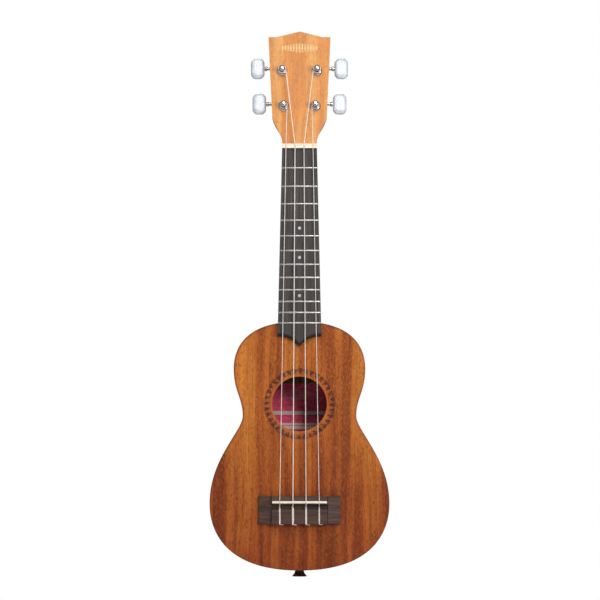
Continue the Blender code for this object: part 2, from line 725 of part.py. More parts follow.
def gear_mesh():
    """A spur of GEAR_TEETH straight-flanked teeth, twisted to match the worm's lead."""
    tip = GEAR_PITCH_RADIUS + GEAR_MODULE
    root = GEAR_PITCH_RADIUS - GEAR_MODULE - TIP_CLEARANCE
    pitch_half = (WORM_LEAD / 2 - TOOTH_BACKLASH) / 2 / GEAR_PITCH_RADIUS
    tip_half = pitch_half * 0.45
    root_half = pitch_half * 1.55
    outline = []
    for tooth in range(GEAR_TEETH):
        middle = math.pi / 2 + (tooth + 0.5) * 2 * math.pi / GEAR_TEETH
        for radius, lean in ((root, -root_half), (tip, -tip_half), (tip, tip_half), (root, root_half)):
            outline.append((radius, middle + lean))
    twist = WORM_LEAD / (2 * math.pi * WORM_PITCH_RADIUS) / GEAR_PITCH_RADIUS
    rings = []
    for z in (-GEAR_WIDTH / 2, GEAR_WIDTH / 2):
        rings.append([(r * math.cos(a + z * twist), r * math.sin(a + z * twist), z) for r, a in outline])
    return rings_mesh("gear", rings)


def gear_hub_tool(head):
    top = TUNER_PLATE_BACK - GAP - WORM_LEVEL
    hub = turned("gear_hub_tool", [(GEAR_HUB_RADIUS, -0.5 * MM), (GEAR_HUB_RADIUS, top)])
    return cutter("gear_hub_tool", hub, head)


def gear_bore_tool(head):
    bore = POST_JOURNAL_RADIUS + GAP
    rod = turned("gear_bore_tool", [(bore, -GEAR_WIDTH), (bore, GEAR_WIDTH + PAST)])
    return cutter("gear_bore_tool", rod, head)


def worm_thread_mesh():
    """The right-handed thread, a trapezium swept along its helix about x."""
    tip = WORM_PITCH_RADIUS + GEAR_MODULE
    inside = WORM_PITCH_RADIUS - GEAR_MODULE - 0.5 * MM
    pitch_half = (WORM_LEAD / 2 - TOOTH_BACKLASH) / 2
    slope = math.tan(math.radians(20))
    tip_half = pitch_half - slope * GEAR_MODULE
    low_half = pitch_half + slope * (WORM_PITCH_RADIUS - inside)
    reach = LUG_OUTER - LUG_THICKNESS - GAP - low_half
    per_turn = 12
    steps = int(2 * reach / WORM_LEAD * per_turn)
    rings = []
    for i in range(steps + 1):
        x = -reach + i * WORM_LEAD / per_turn
        angle = math.pi + 2 * math.pi * x / WORM_LEAD
        ring = []
        for radius, aside in ((inside, -low_half), (tip, -tip_half), (tip, tip_half), (inside, low_half)):
            ring.append((x + aside, radius * math.cos(angle), radius * math.sin(angle)))
        rings.append(ring)
    return rings_mesh("worm_thread_tool", rings)


def worm_shaft_mesh(sign):
    """Stub, worm root, journal and collar, along x towards the button at sign's side."""
    root = WORM_PITCH_RADIUS - GEAR_MODULE - TIP_CLEARANCE
    half = LUG_OUTER - LUG_THICKNESS - GAP
    journal = SHAFT_RADIUS
    seat = BUTTON_FROM_POST - GAP
    profile = [
        (journal - 0.3 * MM, -LUG_OUTER - 0.8 * MM),
        (journal, -LUG_OUTER - 0.5 * MM),
        (journal, -half),
        (root, -half + 0.2 * MM),
        (root, half - 0.2 * MM),
        (journal, half),
        (journal, seat - COLLAR_LENGTH),
        (COLLAR_RADIUS - 0.4 * MM, seat - COLLAR_LENGTH),
        (COLLAR_RADIUS, seat - COLLAR_LENGTH / 2),
        (COLLAR_RADIUS - 0.2 * MM, seat),
        (journal, seat),
        (journal, BUTTON_FROM_POST + BUTTON_BORE_DEPTH - GAP),
    ]
    rings = [[(sign * x, r * math.cos(a), r * math.sin(a)) for a in angles(12)] for r, x in profile]
    return rings_mesh("worm_shaft", rings, smooth_below=50)


def button_mesh():
    """A flat oval knob with eight straight sides and bevelled faces, its bore facing -x."""
    long_half = BUTTON_LENGTH / 2
    wide_half = BUTTON_WIDTH / 2
    thick_half = BUTTON_THICKNESS / 2
    corner_x, corner_y = 0.5 * long_half, 0.62 * wide_half
    octagon = [
        (long_half, -corner_y), (long_half, corner_y), (corner_x, wide_half), (-corner_x, wide_half),
        (-long_half, corner_y), (-long_half, -corner_y), (-corner_x, -wide_half), (corner_x, -wide_half),
    ]
    layers = ((-1, 0.74), (-0.55, 1), (0.55, 1), (1, 0.74))
    rings = [[(x * size, y * size, thick_half * level) for x, y in octagon] for level, size in layers]
    return rings_mesh("button", rings)


def tuner_plate(name, head, steel, at):
    """The base plate with its two upright lugs, drilled for the post, shaft and screws."""
    across, along, thick = TUNER_PLATE
    low = -along / 2 + TUNER_PLATE_SHIFT
    top = -(HEAD_THICKNESS + GAP)
    sheet = prism(name, box_outline(across / 2, low, low + along), top - thick, top)
    plate = place(name, sheet, steel, head, at)
    near, far = WORM_TO_POST - LUG_WIDTH / 2, WORM_TO_POST + LUG_WIDTH / 2
    for sign in (-1, 1):
        inner, outer = sorted((sign * (LUG_OUTER - LUG_THICKNESS), sign * LUG_OUTER))
        outline = [(inner, near), (outer, near), (outer, far), (inner, far)]
        lug = prism(f"lug_tool_{name}_{sign}", outline, WORM_LEVEL - LUG_WIDTH / 2, top - thick / 2)
        boolean(plate, cutter(f"lug_tool_{name}_{sign}", lug, head, at), "UNION")
    bore = POST_RADIUS + RUNNING_GAP
    hole = turned("plate_hole_tool", [(bore, top - PAST), (bore, top + PAST)])
    boolean(plate, cutter(f"plate_hole_tool_{name}", hole, head, at))
    bore = PLATE_SCREW_RADIUS
    screw = turned("plate_screw_tool", [(bore, top - PAST), (bore, top + PAST)], 12)
    for end, y in (("low", low + PLATE_SCREW_INSET), ("high", low + along - PLATE_SCREW_INSET)):
        tool = cutter(f"plate_screw_tool_{name}_{end}", screw, head, (at[0], at[1] + y, 0))
        boolean(plate, tool)
    bore = SHAFT_RADIUS + RUNNING_GAP
    rod = turned("shaft_hole_tool", [(bore, -LUG_OUTER - PAST), (bore, LUG_OUTER + PAST)])
    axis = (at[0], at[1] + WORM_TO_POST, WORM_LEVEL)
    boolean(plate, cutter(f"shaft_hole_tool_{name}", rod, head, axis, (0, math.pi / 2, 0)))


def build_tuners(head, steel, chrome, brass, pearl):
    post = post_mesh()
    ferrule = ferrule_mesh()
    gear = gear_mesh()
    thread = worm_thread_mesh()
    shafts = {-1: worm_shaft_mesh(-1), 1: worm_shaft_mesh(1)}
    knob = button_mesh()
    cross = turned("string_hole_tool", [(STRING_HOLE_RADIUS, -PAST), (STRING_HOLE_RADIUS, PAST)], 8)
    bore = SHAFT_RADIUS + GAP
    rod = turned("button_bore_tool", [(bore, -PAST), (bore, BUTTON_BORE_DEPTH)])
    for tuner, x, u in post_places():
        sign = -1 if x < 0 else 1
        tuner_plate(f"tuner_plate_{tuner}", head, steel, (x, u, 0))
        place(f"ferrule_{tuner}", ferrule, chrome, head, (x, u, 0))
        stem = place(f"post_{tuner}", post, chrome, head, (x, u, 0))
        at = (x, u, POST_HEIGHT - STRING_HOLE_DOWN)
        boolean(stem, cutter(f"string_hole_tool_{tuner}", cross, head, at, (math.pi / 2, 0, 0)))
        wheel = place(f"gear_{tuner}", gear, brass, head, (x, u, WORM_LEVEL))
        for tool in (gear_hub_tool(head), gear_bore_tool(head)):
            tool.name = f"{tool.name.split('.')[0]}_{tuner}"
            tool.location = wheel.location
            boolean(wheel, tool, "UNION" if "hub" in tool.name else "DIFFERENCE")
        axis = (x, u + WORM_TO_POST, WORM_LEVEL)
        shaft = place(f"worm_shaft_{tuner}", shafts[sign], steel, head, axis)
        boolean(shaft, cutter(f"worm_thread_tool_{tuner}", thread, head, axis), "UNION")
        middle = (x + sign * (BUTTON_FROM_POST + BUTTON_LENGTH / 2), axis[1], axis[2])
        button = place(f"button_{tuner}", knob, pearl, head, middle)
        at = (x + sign * BUTTON_FROM_POST, axis[1], axis[2])
        boolean(button, cutter(f"button_bore_tool_{tuner}", rod, head, at, (0, sign * math.pi / 2, 0)))


# Strings

def tube(name, points, radius, material, parent):
    curve = bpy.data.curves.new(name, "CURVE")
    curve.dimensions = "3D"
    curve.bevel_depth = radius
    curve.bevel_resolution = 1
    curve.use_fill_caps = True
    line = curve.splines.new("POLY")
    line.points.add(len(points) - 1)
    for slot, point in zip(line.points, points):
        slot.co = (*point, 1)
    return place(name, curve, material, parent)


def head_to_face(x, u, height):
    """A point given on the head's face, in the frame of the instrument's face."""
    return (
        x,
        HEAD_START + u * math.cos(HEAD_TILT) + height * math.sin(HEAD_TILT),
        -u * math.sin(HEAD_TILT) + height * math.cos(HEAD_TILT),
    )


def tie_points(x, radius):
    """Through the tie block's hole, up its rear face and forward over its top."""
    clear = radius + GAP
    rear = -(BRIDGE_BACK_AT + clear)
    over = BRIDGE_BLOCK_HEIGHT + clear
    front = -(TIE_BLOCK_AT + 1.5 * MM)
    return [
        (x, front, over),
        (x, -BRIDGE_BACK_AT, over),
        (x, rear, BRIDGE_BLOCK_HEIGHT),
        (x, rear, TIE_HOLE_HEIGHT + 0.6 * MM),
        (x, -BRIDGE_BACK_AT + 0.1 * MM, TIE_HOLE_HEIGHT),
        (x, -TIE_BLOCK_AT - 0.3 * MM, TIE_HOLE_HEIGHT),
        (x, -TIE_BLOCK_AT + 0.7 * MM, TIE_HOLE_HEIGHT + 0.3 * MM),
    ]


def winding_points(x, u, radius, sign):
    """Coils down the post from the side that faces the middle of the head."""
    around = POST_RADIUS + WINDING_CLEARANCE + radius
    per_turn = 12
    pitch = 2 * radius + GAP
    start = FERRULE_FLANGE_HEIGHT + GAP + radius + WINDING_TURNS * pitch + WINDING_LIFT
    points = []
    for i in range(int(WINDING_TURNS * per_turn) + 1):
        share = i / per_turn
        angle = 2 * math.pi * share
        height = start - share * pitch
        points.append(head_to_face(x - sign * around * math.cos(angle), u + around * math.sin(angle), height))
    return points


def build_strings(face, nylon):
    posts = {name: (x, u) for name, x, u in post_places()}
    for name, order, radius, tuner in string_places():
        at_saddle = order * STRING_PITCH_AT_SADDLE
        at_nut = order * STRING_PITCH_AT_NUT
        x, u = posts[tuner]
        points = tie_points(at_saddle, radius)
        points.append((at_saddle, -SADDLE_AT - 0.7 * MM, SADDLE_TOP + GAP + radius - 0.1 * MM))
        points.append((at_saddle, -SADDLE_AT + 0.7 * MM, SADDLE_TOP + GAP + radius))
        points.append((at_nut, GAP, nut_string_height() + radius))
        points.append((at_nut, NUT_SLOT_LENGTH, nut_string_height() + radius))
        points += winding_points(x, u, radius, -1 if x < 0 else 1)
        tube(f"string_{name}", points, radius, nylon, face)


def main():
    clear_scene()
    mahogany = principled("satin_mahogany", (0.42, 0.15, 0.045), 0.4)
    neck_wood = principled("pale_mahogany", (0.72, 0.34, 0.13), 0.45)
    inner_wood = principled("raw_spruce", (0.75, 0.58, 0.36), 0.7)
    dark_wood = principled("oiled_rosewood", (0.08, 0.05, 0.045), 0.5)
    board_wood = principled("oiled_fretboard", (0.07, 0.06, 0.06), 0.5)
    bone = principled("bone", (0.86, 0.82, 0.7), 0.35)
    nickel = principled("nickel_silver", (0.75, 0.73, 0.68), 0.25, 1.0)
    steel = principled("nickel_plated_steel", (0.62, 0.62, 0.62), 0.3, 1.0)
    chrome = principled("chrome", (0.8, 0.8, 0.8), 0.1, 1.0)
    brass = principled("brass", (0.72, 0.5, 0.2), 0.3, 1.0)
    pearl = principled("pearl_plastic", (0.85, 0.86, 0.9), 0.2)
    nylon = principled("nylon", (0.85, 0.78, 0.66), 0.3)
    black = principled("black_plastic", (0.01, 0.01, 0.01), 0.35)
    face = empty("face_frame", None, (0, -NECK_DEPTH_AT_NUT, 0), (math.pi / 2, 0, 0))
    head = empty("head_frame", face, (0, HEAD_START, 0), (-HEAD_TILT, 0, 0))
    screw_hole = strap_screw_tool(face)
    build_plates(face, mahogany)
    build_sides(face, mahogany, screw_hole)
    build_linings(face, inner_wood)
    build_blocks(face, inner_wood, screw_hole)
    build_braces(face, inner_wood)
    build_strap_button(face, black)
    build_neck(face, head, neck_wood)
    build_fretboard(face, board_wood)
    build_frets(face, nickel)
    build_nut(face, bone)
    build_bridge(face, dark_wood)
    build_saddle(face, bone)
    build_tuners(head, steel, chrome, brass, pearl)
    build_strings(face, nylon)


main()
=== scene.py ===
import math

import bmesh
import bpy
import numpy as np
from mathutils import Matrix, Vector


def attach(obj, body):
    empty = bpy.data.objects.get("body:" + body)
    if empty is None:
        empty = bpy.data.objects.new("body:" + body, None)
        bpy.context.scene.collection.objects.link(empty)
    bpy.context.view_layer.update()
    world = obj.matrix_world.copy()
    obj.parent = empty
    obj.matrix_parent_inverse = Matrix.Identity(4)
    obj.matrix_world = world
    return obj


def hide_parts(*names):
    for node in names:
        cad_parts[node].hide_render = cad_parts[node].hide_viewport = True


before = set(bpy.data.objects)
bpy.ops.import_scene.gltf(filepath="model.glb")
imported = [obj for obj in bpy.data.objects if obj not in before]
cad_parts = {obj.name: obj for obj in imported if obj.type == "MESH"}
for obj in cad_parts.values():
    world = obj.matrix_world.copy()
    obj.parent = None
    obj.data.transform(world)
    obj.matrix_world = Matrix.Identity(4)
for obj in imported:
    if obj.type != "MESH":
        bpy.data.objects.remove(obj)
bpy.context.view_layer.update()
print("frame loaded,", len(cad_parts), "nodes")

root = "instrument"
tuners = {  # name: x and place up the head in mm, and which side its button is on
    "bass_lower": (-15.7, 37.5, -1), "treble_lower": (15.7, 37.5, 1),
    "bass_upper": (-17.3, 73.9, -1), "treble_upper": (17.3, 73.9, 1),
}
faceLevel = -14.5  # the soundboard's face, on the world's y
headTilt = math.radians(14)
headStart = 5.5  # just behind the nut, where the leaning face of the head begins
bodyTop = -171.2
scaleLength = 345.0
holeCentre = np.array([0.0, -252.6])
uncut = 99.0  # above every piece: the floor of a slot where there is none


# Places. Shapes are worked out in mm, as x, y up the neck, z out of the soundboard.

def faceToWorld(x, y, z):
    x, y, z = np.broadcast_arrays(x, y, z)
    return np.stack([x, faceLevel - z, y], axis=-1) * 0.001


def headToWorld(x, u, n):
    # u runs up the leaning face of the head and n out of it
    y = headStart + u * math.cos(headTilt) + n * math.sin(headTilt)
    return faceToWorld(x, y, -u * math.sin(headTilt) + n * math.cos(headTilt))


def onHead(x0, u0, under=None):
    # places a shape round one point of the head, or upside down under a level
    if under is None:
        return lambda x, u, n: headToWorld(x0 + x, u0 + u, n)
    return lambda x, u, n: headToWorld(x0 + x, u0 - u, under - n)


def smoothStep(t):
    t = np.clip(t, 0, 1)
    return t * t * (3 - 2 * t)


def mix(a, b, t):
    return a + (b - a) * t


def between(a, b, *shares):
    return [mix(a, b, share) for share in shares]


def roundAngles(count):
    return np.linspace(0, 2 * math.pi, count, endpoint=False)


# Shapes are pairs of points (n, 3) and faces; they are added together before they become a piece.

def gridFaces(rows, columns, closedRows, closedColumns):
    # each cell of a grid of points as one four-cornered face
    i = np.arange(rows if closedRows else rows - 1)[:, None]
    j = np.arange(columns if closedColumns else columns - 1)[None, :]
    nextI, nextJ = (i + 1) % rows, (j + 1) % columns
    corners = [i * columns + j, i * columns + nextJ, nextI * columns + nextJ, nextI * columns + j]
    return np.stack(np.broadcast_arrays(*corners), axis=-1).reshape(-1, 4).tolist()


def skin(rings, closedPath=False):
    # closed rings of points skinned one after another, each end closed by a fan to its middle
    rings = np.asarray(rings, float)
    count, around = rings.shape[:2]
    points = rings.reshape(-1, 3)
    faces = gridFaces(count, around, closedPath, True)
    if not closedPath:
        j, first, last = np.arange(around), len(points), (count - 1) * around
        after = (j + 1) % around
        faces += np.stack([after, j, 0 * j + first], axis=1).tolist()
        faces += np.stack([last + j, last + after, 0 * j + first + 1], axis=1).tolist()
        points = np.concatenate([points, rings[:1].mean(axis=1), rings[-1:].mean(axis=1)])
    return points, faces


def slab(top, bottom):
    # two sheets of the same grid, one above the other, closed by a wall round their edges
    rows, columns = top.shape[:2]
    upper = gridFaces(rows, columns, False, False)
    count = rows * columns
    lower = [[count + k for k in reversed(face)] for face in upper]
    index = np.arange(count).reshape(rows, columns)
    loop = np.concatenate([index[0, :-1], index[:-1, -1], index[-1, :0:-1], index[:0:-1, 0]])
    after = np.roll(loop, -1)
    wall = np.stack([after, loop, loop + count, after + count], axis=1).tolist()
    return np.concatenate([top.reshape(-1, 3), bottom.reshape(-1, 3)]), upper + lower + wall


def extruded(outline, low, high, place):
    # a closed outline carried straight from n = low to n = high
    return skin([place(outline[:, 0], outline[:, 1], level) for level in (low, high)])


def lathe(profile, place, steps=40, bored=False):
    # a profile of (radius, height) turned round its own axis; place takes x, u and n; the profile
    # of a bored shape goes down its bore, back to where it started
    profile = np.asarray(profile, float)
    angle = roundAngles(steps)[None, :]
    radius, height = profile[:, :1], profile[:, 1:]
    return skin(place(radius * np.cos(angle), radius * np.sin(angle), height + 0 * angle), bored)


def roundedPath(points, reach, steps=5):
    # each corner replaced by a short arc: a quadratic curve between points just before and after it
    points = np.asarray(points, float)
    spans = np.diff(points, axis=0)
    lengths = np.linalg.norm(spans, axis=1, keepdims=True)
    before = points[1:-1] - spans[:-1] / lengths[:-1] * np.minimum(reach, lengths[:-1] * 0.48)
    after = points[1:-1] + spans[1:] / lengths[1:] * np.minimum(reach, lengths[1:] * 0.48)
    t = np.linspace(0, 1, steps)[None, :, None]
    arcs = (1 - t) ** 2 * before[:, None] + 2 * t * (1 - t) * points[1:-1, None] + t * t * after[:, None]
    return np.concatenate([points[:1], arcs.reshape(-1, 3), points[-1:]])


def tube(path, radius, across, sides=10):
    # a circle carried along the path, kept square to it; across is never along the path
    path = np.asarray(path, float)
    along = np.gradient(path, axis=0)
    along /= np.linalg.norm(along, axis=1, keepdims=True)
    side = np.cross(along, across)
    side /= np.linalg.norm(side, axis=1, keepdims=True)
    up = np.cross(side, along)
    angle = roundAngles(sides)[None, :, None]
    radius = np.broadcast_to(np.asarray(radius, float), len(path))[:, None, None]
    return skin(path[:, None] + radius * (np.cos(angle) * side[:, None] + np.sin(angle) * up[:, None]))


def together(*shapes):
    points, faces, start = [], [], 0
    for shapePoints, shapeFaces in shapes:
        points.append(shapePoints)
        faces += [[start + k for k in face] for face in shapeFaces]
        start += len(shapePoints)
    return np.concatenate(points), faces


def newObject(name, data):
    made = bpy.data.objects.new(name, data)
    bpy.context.scene.collection.objects.link(made)
    return made


def newPiece(name, shape, material, body, replaces=(), sharp=40, bevel=0, attributes=None):
    # puts a shape in the scene: doubles merged, faces turned out, then it rides its body
    points, faces = shape
    mesh = bpy.data.meshes.new(name)
    mesh.from_pydata(np.asarray(points).tolist(), [], faces)
    for key, values in (attributes or {}).items():
        kind, field = ("FLOAT_VECTOR", "vector") if np.ndim(values) == 2 else ("FLOAT", "value")
        mesh.attributes.new(key, kind, "POINT").data.foreach_set(field, np.ravel(values).astype(np.float32))
    work = bmesh.new()
    work.from_mesh(mesh)
    bmesh.ops.remove_doubles(work, verts=work.verts, dist=2e-6)
    bmesh.ops.dissolve_degenerate(work, edges=work.edges, dist=1e-7)
    bmesh.ops.recalc_face_normals(work, faces=work.faces)
    work.to_mesh(mesh)
    work.free()
    mesh.shade_smooth()
    mesh.set_sharp_from_angle(angle=math.radians(sharp))
    mesh.materials.append(material)
    piece = newObject(name, mesh)
    if bevel:
        rounding = piece.modifiers.new("edges", "BEVEL")
        rounding.width = bevel * 0.001
        rounding.segments = 3
        rounding.limit_method = "ANGLE"
        rounding.angle_limit = math.radians(38)
        rounding.harden_normals = True
    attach(piece, body)
    if replaces:
        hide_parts(*replaces)
    return piece


# Materials

def linear(hexCode):
    # an sRGB hex colour as linear red, green, blue and full alpha
    parts = [int(hexCode[k:k + 2], 16) / 255 for k in (1, 3, 5)]
    return [c / 12.92 if c <= 0.04045 else ((c + 0.055) / 1.055) ** 2.4 for c in parts] + [1.0]


def cells(*sizes):
    # a mapping scale that makes one cell of a pattern this many mm across each way
    return [1000 / size for size in sizes]


def addNode(tree, kind, settings=None, inputs=None, out=None):
    # one node with its settings, socket values and links; it hands back an output socket
    node = tree.nodes.new("ShaderNode" + kind)
    for key, value in (settings or {}).items():
        if key == "stops":
            elements = node.color_ramp.elements
            elements.remove(elements[1])
            elements[0].position, elements[0].color = value[0]
            for position, colour in value[1:]:
                elements.new(position).color = colour
        else:
            setattr(node, key, value)
    for key, value in (inputs or {}).items():
        if isinstance(key, int):
            socket = node.inputs[key]
        else:
            socket = [s for s in node.inputs if s.enabled and s.name == key][0]
        if isinstance(value, bpy.types.NodeSocket):
            tree.links.new(value, socket)
        else:
            socket.default_value = value
    return [s for s in node.outputs if s.enabled and out in (None, s.name)][0]


def newMaterial(name, values):
    # a material with these values on its shader; it hands back its node tree and object coordinates too
    made = bpy.data.materials.new(name)
    made.use_nodes = True
    for key, value in values.items():
        made.node_tree.nodes["Principled BSDF"].inputs[key].default_value = value
    return made, made.node_tree, addNode(made.node_tree, "TexCoord", out="Object")


def noise(tree, place, sizes, detail, roughness=0.5, distortion=0.0, out=None):
    # noise in cells of this many mm along x, y and z
    place = addNode(tree, "Mapping", {}, {"Vector": place, "Scale": cells(*sizes)})
    return addNode(tree, "TexNoise", {}, {
        "Vector": place, "Scale": 1.0, "Detail": detail, "Roughness": roughness, "Distortion": distortion,
    }, out)


def stretched(tree, value, low, high, least, most):
    # the range from low to high carried to least and most, and held there outside it
    return addNode(tree, "MapRange", {}, {"Value": value, 1: low, 2: high, 3: least, 4: most})


def maths(tree, operation, *values, kind="Math", out=None):
    # a Math or VectorMath node worked on sockets and plain values
    return addNode(tree, kind, {"operation": operation}, dict(enumerate(values)), out)


def shaded(tree, value, *stops):
    # a colour ramp of (place, hex colour) pairs
    return addNode(tree, "ValToRGB", {"stops": [(at, linear(shade)) for at, shade in stops]}, {"Fac": value})


def tinted(tree, colour, share, shade, blend="MIX"):
    # a colour mixed with, or multiplied by, a shade that is a hex colour or a socket
    shade = linear(shade) if isinstance(shade, str) else shade
    return addNode(tree, "Mix", {"data_type": "RGBA", "blend_type": blend}, {
        "Factor": share, "A": colour, "B": shade})


def finished(made, colour, rough=None, height=None, strength=0.0, distance=0.0):
    # links the patterns of colour, roughness and height to the material's shader
    tree = made.node_tree
    shader = tree.nodes["Principled BSDF"].inputs
    tree.links.new(colour, shader["Base Color"])
    if rough is not None:
        tree.links.new(rough, shader["Roughness"])
    if height is not None:
        bump = addNode(tree, "Bump", {}, {"Height": height, "Strength": strength, "Distance": distance})
        tree.links.new(bump, shader["Normal"])
    return made


# edge is the colour multiplied in as painted shade wherever a piece's edge attribute is set
mahoganyLook = {
    "golden": "#BC6F2A", "middle": "#A6561D", "reddish": "#863E15", "fleck": "#481D09", "bright": "#CC8230",
    "edge": "#A55527", "ribbonWidth": 12.0, "ribbonLow": 0.38, "ribbonHigh": 0.62, "streakWidth": 1.7,
    "streakDepth": 0.2, "fleckWidth": 1.1, "fleckLength": 4.0, "fleckAmount": 0.6, "brightAmount": 0.36,
    "waveReach": 0.012, "roughness": 0.46, "coat": 0.04, "specular": 0.2,
}


def mahogany(name, look, withGrain=False, etched=False):
    # satin-varnished quarter-sawn mahogany: broad soft ribbons that turn from gold to red-brown, faint
    # streaks, and short dark and bright flecks where pores and wood rays come to the surface; the
    # flecks are drawn about twice as wide as life, so that they show. A piece with a grain attribute
    # is bent or cut in its own direction, and its edge attribute says where painted shade darkens it
    made, tree, place = newMaterial(name, {
        "Coat Weight": look["coat"], "Coat Roughness": 0.3, "Roughness": look["roughness"],
        "Specular IOR Level": look["specular"],
    })
    grain = addNode(tree, "Attribute", {"attribute_name": "grain"}, out="Vector") if withGrain else place
    wave = noise(tree, grain, (45, 60, 150), 1.0, out="Color")
    wave = maths(tree, "SUBTRACT", wave, (0.5, 0.5, 0.5), kind="VectorMath")
    wave = maths(tree, "MULTIPLY", wave, (look["waveReach"], look["waveReach"], 0), kind="VectorMath")
    bent = maths(tree, "ADD", grain, wave, kind="VectorMath")

    def pattern(where, sizes, detail, low, high, least, most):
        return stretched(tree, noise(tree, where, sizes, detail, 0.55), low, high, least, most)

    ribbon = pattern(bent, (look["ribbonWidth"], 60, 380), 2.0, look["ribbonLow"], look["ribbonHigh"], 0, 1)
    colour = shaded(tree, ribbon, (0.0, look["reddish"]), (0.5, look["middle"]), (1.0, look["golden"]))
    depth = look["streakDepth"]
    streak = pattern(bent, (look["streakWidth"], 10, 70), 3.0, 0.3, 0.7, 1 - depth, 1 + depth)
    mottle = pattern(grain, (9, 30, 16), 2.0, 0.3, 0.7, 0.9, 1.1)
    colour = tinted(tree, tinted(tree, colour, 1.0, streak, "MULTIPLY"), 1.0, mottle, "MULTIPLY")
    width, length = look["fleckWidth"], look["fleckLength"]
    bright = pattern(grain, (width, 2, length * 0.8), 1.0, 0.52, 0.72, 0, look["brightAmount"])
    fleck = pattern(bent, (width * 0.8, 2.3, length), 1.0, 0.54, 0.72, 0, look["fleckAmount"])
    colour = tinted(tree, tinted(tree, colour, bright, look["bright"]), fleck, look["fleck"])
    if etched:
        colour = etchedRing(tree, place, colour)
    if withGrain:
        # painted shade: the edge attribute multiplies the colour darker at the plates' rims, round the lower
        # bout and along the sides' joins
        edge = addNode(tree, "Attribute", {"attribute_name": "edge"}, out="Fac")
        colour = tinted(tree, colour, edge, look["edge"], "MULTIPLY")
    rough = stretched(tree, mottle, 0.9, 1.1, look["roughness"] - 0.05, look["roughness"] + 0.08)
    return finished(made, colour, rough, maths(tree, "SUBTRACT", streak, fleck), 0.2, 0.0002)


ringLook = {
    "count": 36, "inner": 29.9, "outer": 35.1, "burn": "#38190B", "lit": "#9A5040", "plain": "#B4672A",
    "plainTo": 28.4, "burnAmount": 0.86, "litAmount": 0.45, "wornSize": 1.6,
}


def etchedRing(tree, place, colour):
    # small pointed marks burnt round the soundhole outside a plain ring: the marks are where the
    # angle within one of them is nearer its middle than a share of the band, and fine noise wears
    # some of them away and shifts their edges
    look = ringLook
    worn = noise(tree, place, [look["wornSize"]] * 3, 2.0)
    place = addNode(tree, "Mapping", {}, {
        "Vector": place, "Location": (0, 0, -holeCentre[1]), "Scale": (1000, 1000, 1000)})
    across = addNode(tree, "SeparateXYZ", {}, {"Vector": place}, "X")
    up = addNode(tree, "SeparateXYZ", {}, {"Vector": place}, "Z")

    def work(operation, *values):
        return maths(tree, operation, *values)

    radius = work("SQRT", work("MULTIPLY_ADD", up, up, work("MULTIPLY", across, across)))
    turn = work("MULTIPLY", work("ARCTAN2", up, across), look["count"] / (2 * math.pi))
    turn = work("MULTIPLY_ADD", worn, 1.3, turn)
    off = work("ABSOLUTE", work("SUBTRACT", work("FRACT", turn), 0.5))
    share = addNode(tree, "MapRange", {"clamp": False}, {
        "Value": radius, 1: look["inner"], 2: look["outer"], 3: 0.0, 4: 1.0})
    share = work("ADD", share, work("MULTIPLY", work("SUBTRACT", worn, 0.5), 1.1))
    inside = stretched(tree, work("ABSOLUTE", work("SUBTRACT", share, 0.5)), 0.4, 0.54, 1.0, 0.0)
    mark = work("SUBTRACT", work("MULTIPLY_ADD", share, 0.3, 0.17), off)
    burnt = work("MULTIPLY", stretched(tree, mark, -0.06, 0.06, 0.0, 1.0), inside)
    kept = stretched(tree, worn, 0.32, 0.46, 0.35, 1.0)
    between = work("MULTIPLY", work("SUBTRACT", inside, burnt), look["litAmount"])
    between = work("MULTIPLY", between, kept)
    burnt = work("MULTIPLY", work("MULTIPLY", burnt, kept), look["burnAmount"])
    plain = stretched(tree, radius, look["plainTo"], look["plainTo"] + 0.5, 0.5, 0.0)
    for share, shade in ((plain, "plain"), (between, "lit"), (burnt, "burn")):
        colour = tinted(tree, colour, share, look[shade])
    return colour


neckLook = {
    **mahoganyLook, "golden": "#DA9B58", "middle": "#D28A45", "reddish": "#C98042", "fleck": "#9E5C2A",
    "bright": "#E6AE72", "ribbonWidth": 9.0, "streakWidth": 1.6, "streakDepth": 0.07, "fleckAmount": 0.45,
    "brightAmount": 0.2, "roughness": 0.48, "coat": 0.06,
}
# painted shade: the wood inside the body has colours far darker than raw spruce, standing in for the shade
# inside the box
innerShadeLook = {
    **mahoganyLook, "golden": "#6E5539", "middle": "#614A31", "reddish": "#533F2A", "fleck": "#3F2E1D",
    "bright": "#7A6042", "ribbonWidth": 3.0, "roughness": 0.75, "coat": 0.0,
}


def streakedWood(name, dark, light, sizes, roughness, poreShade, poreAmount):
    # close-grained dark wood, planed and oiled: long streaks of two browns with short open pores, and
    # painted shade that turns the colour nearly black where a piece's own edge attribute says so
    made, tree, place = newMaterial(name, {"Specular IOR Level": 0.35, "Roughness": roughness})
    streak = noise(tree, place, sizes, 4.0, 0.6)
    pore = stretched(tree, noise(tree, place, [s * 0.45 for s in sizes], 1.0), 0.58, 0.72, 0.0, poreAmount)
    edge = addNode(tree, "Attribute", {"attribute_name": "edge"}, out="Fac")
    colour = tinted(tree, shaded(tree, streak, (0.34, dark), (0.66, light)), pore, poreShade)
    # painted shade: nearly black where the edge attribute is set, which on the fretboard is its end in shadow
    colour = tinted(tree, colour, edge, "#0E0B0B")
    rough = stretched(tree, streak, 0, 1, roughness - 0.08, roughness + 0.12)
    return finished(made, colour, rough, streak, 0.3, 0.00015)


def polishedMetal(name, bright, dull, sizes, roughness):
    # plated or drawn metal: faint polishing lines and patches where the shine is duller
    made, tree, place = newMaterial(name, {"Metallic": 1.0, "Roughness": roughness})
    lines = noise(tree, place, sizes, 3.0)
    colour = shaded(tree, noise(tree, place, (6, 6, 6), 2.0), (0.35, dull), (0.6, bright))
    rough = stretched(tree, lines, 0.3, 0.7, roughness * 0.7, roughness * 1.4)
    return finished(made, colour, rough, lines, 0.08, 0.00005)


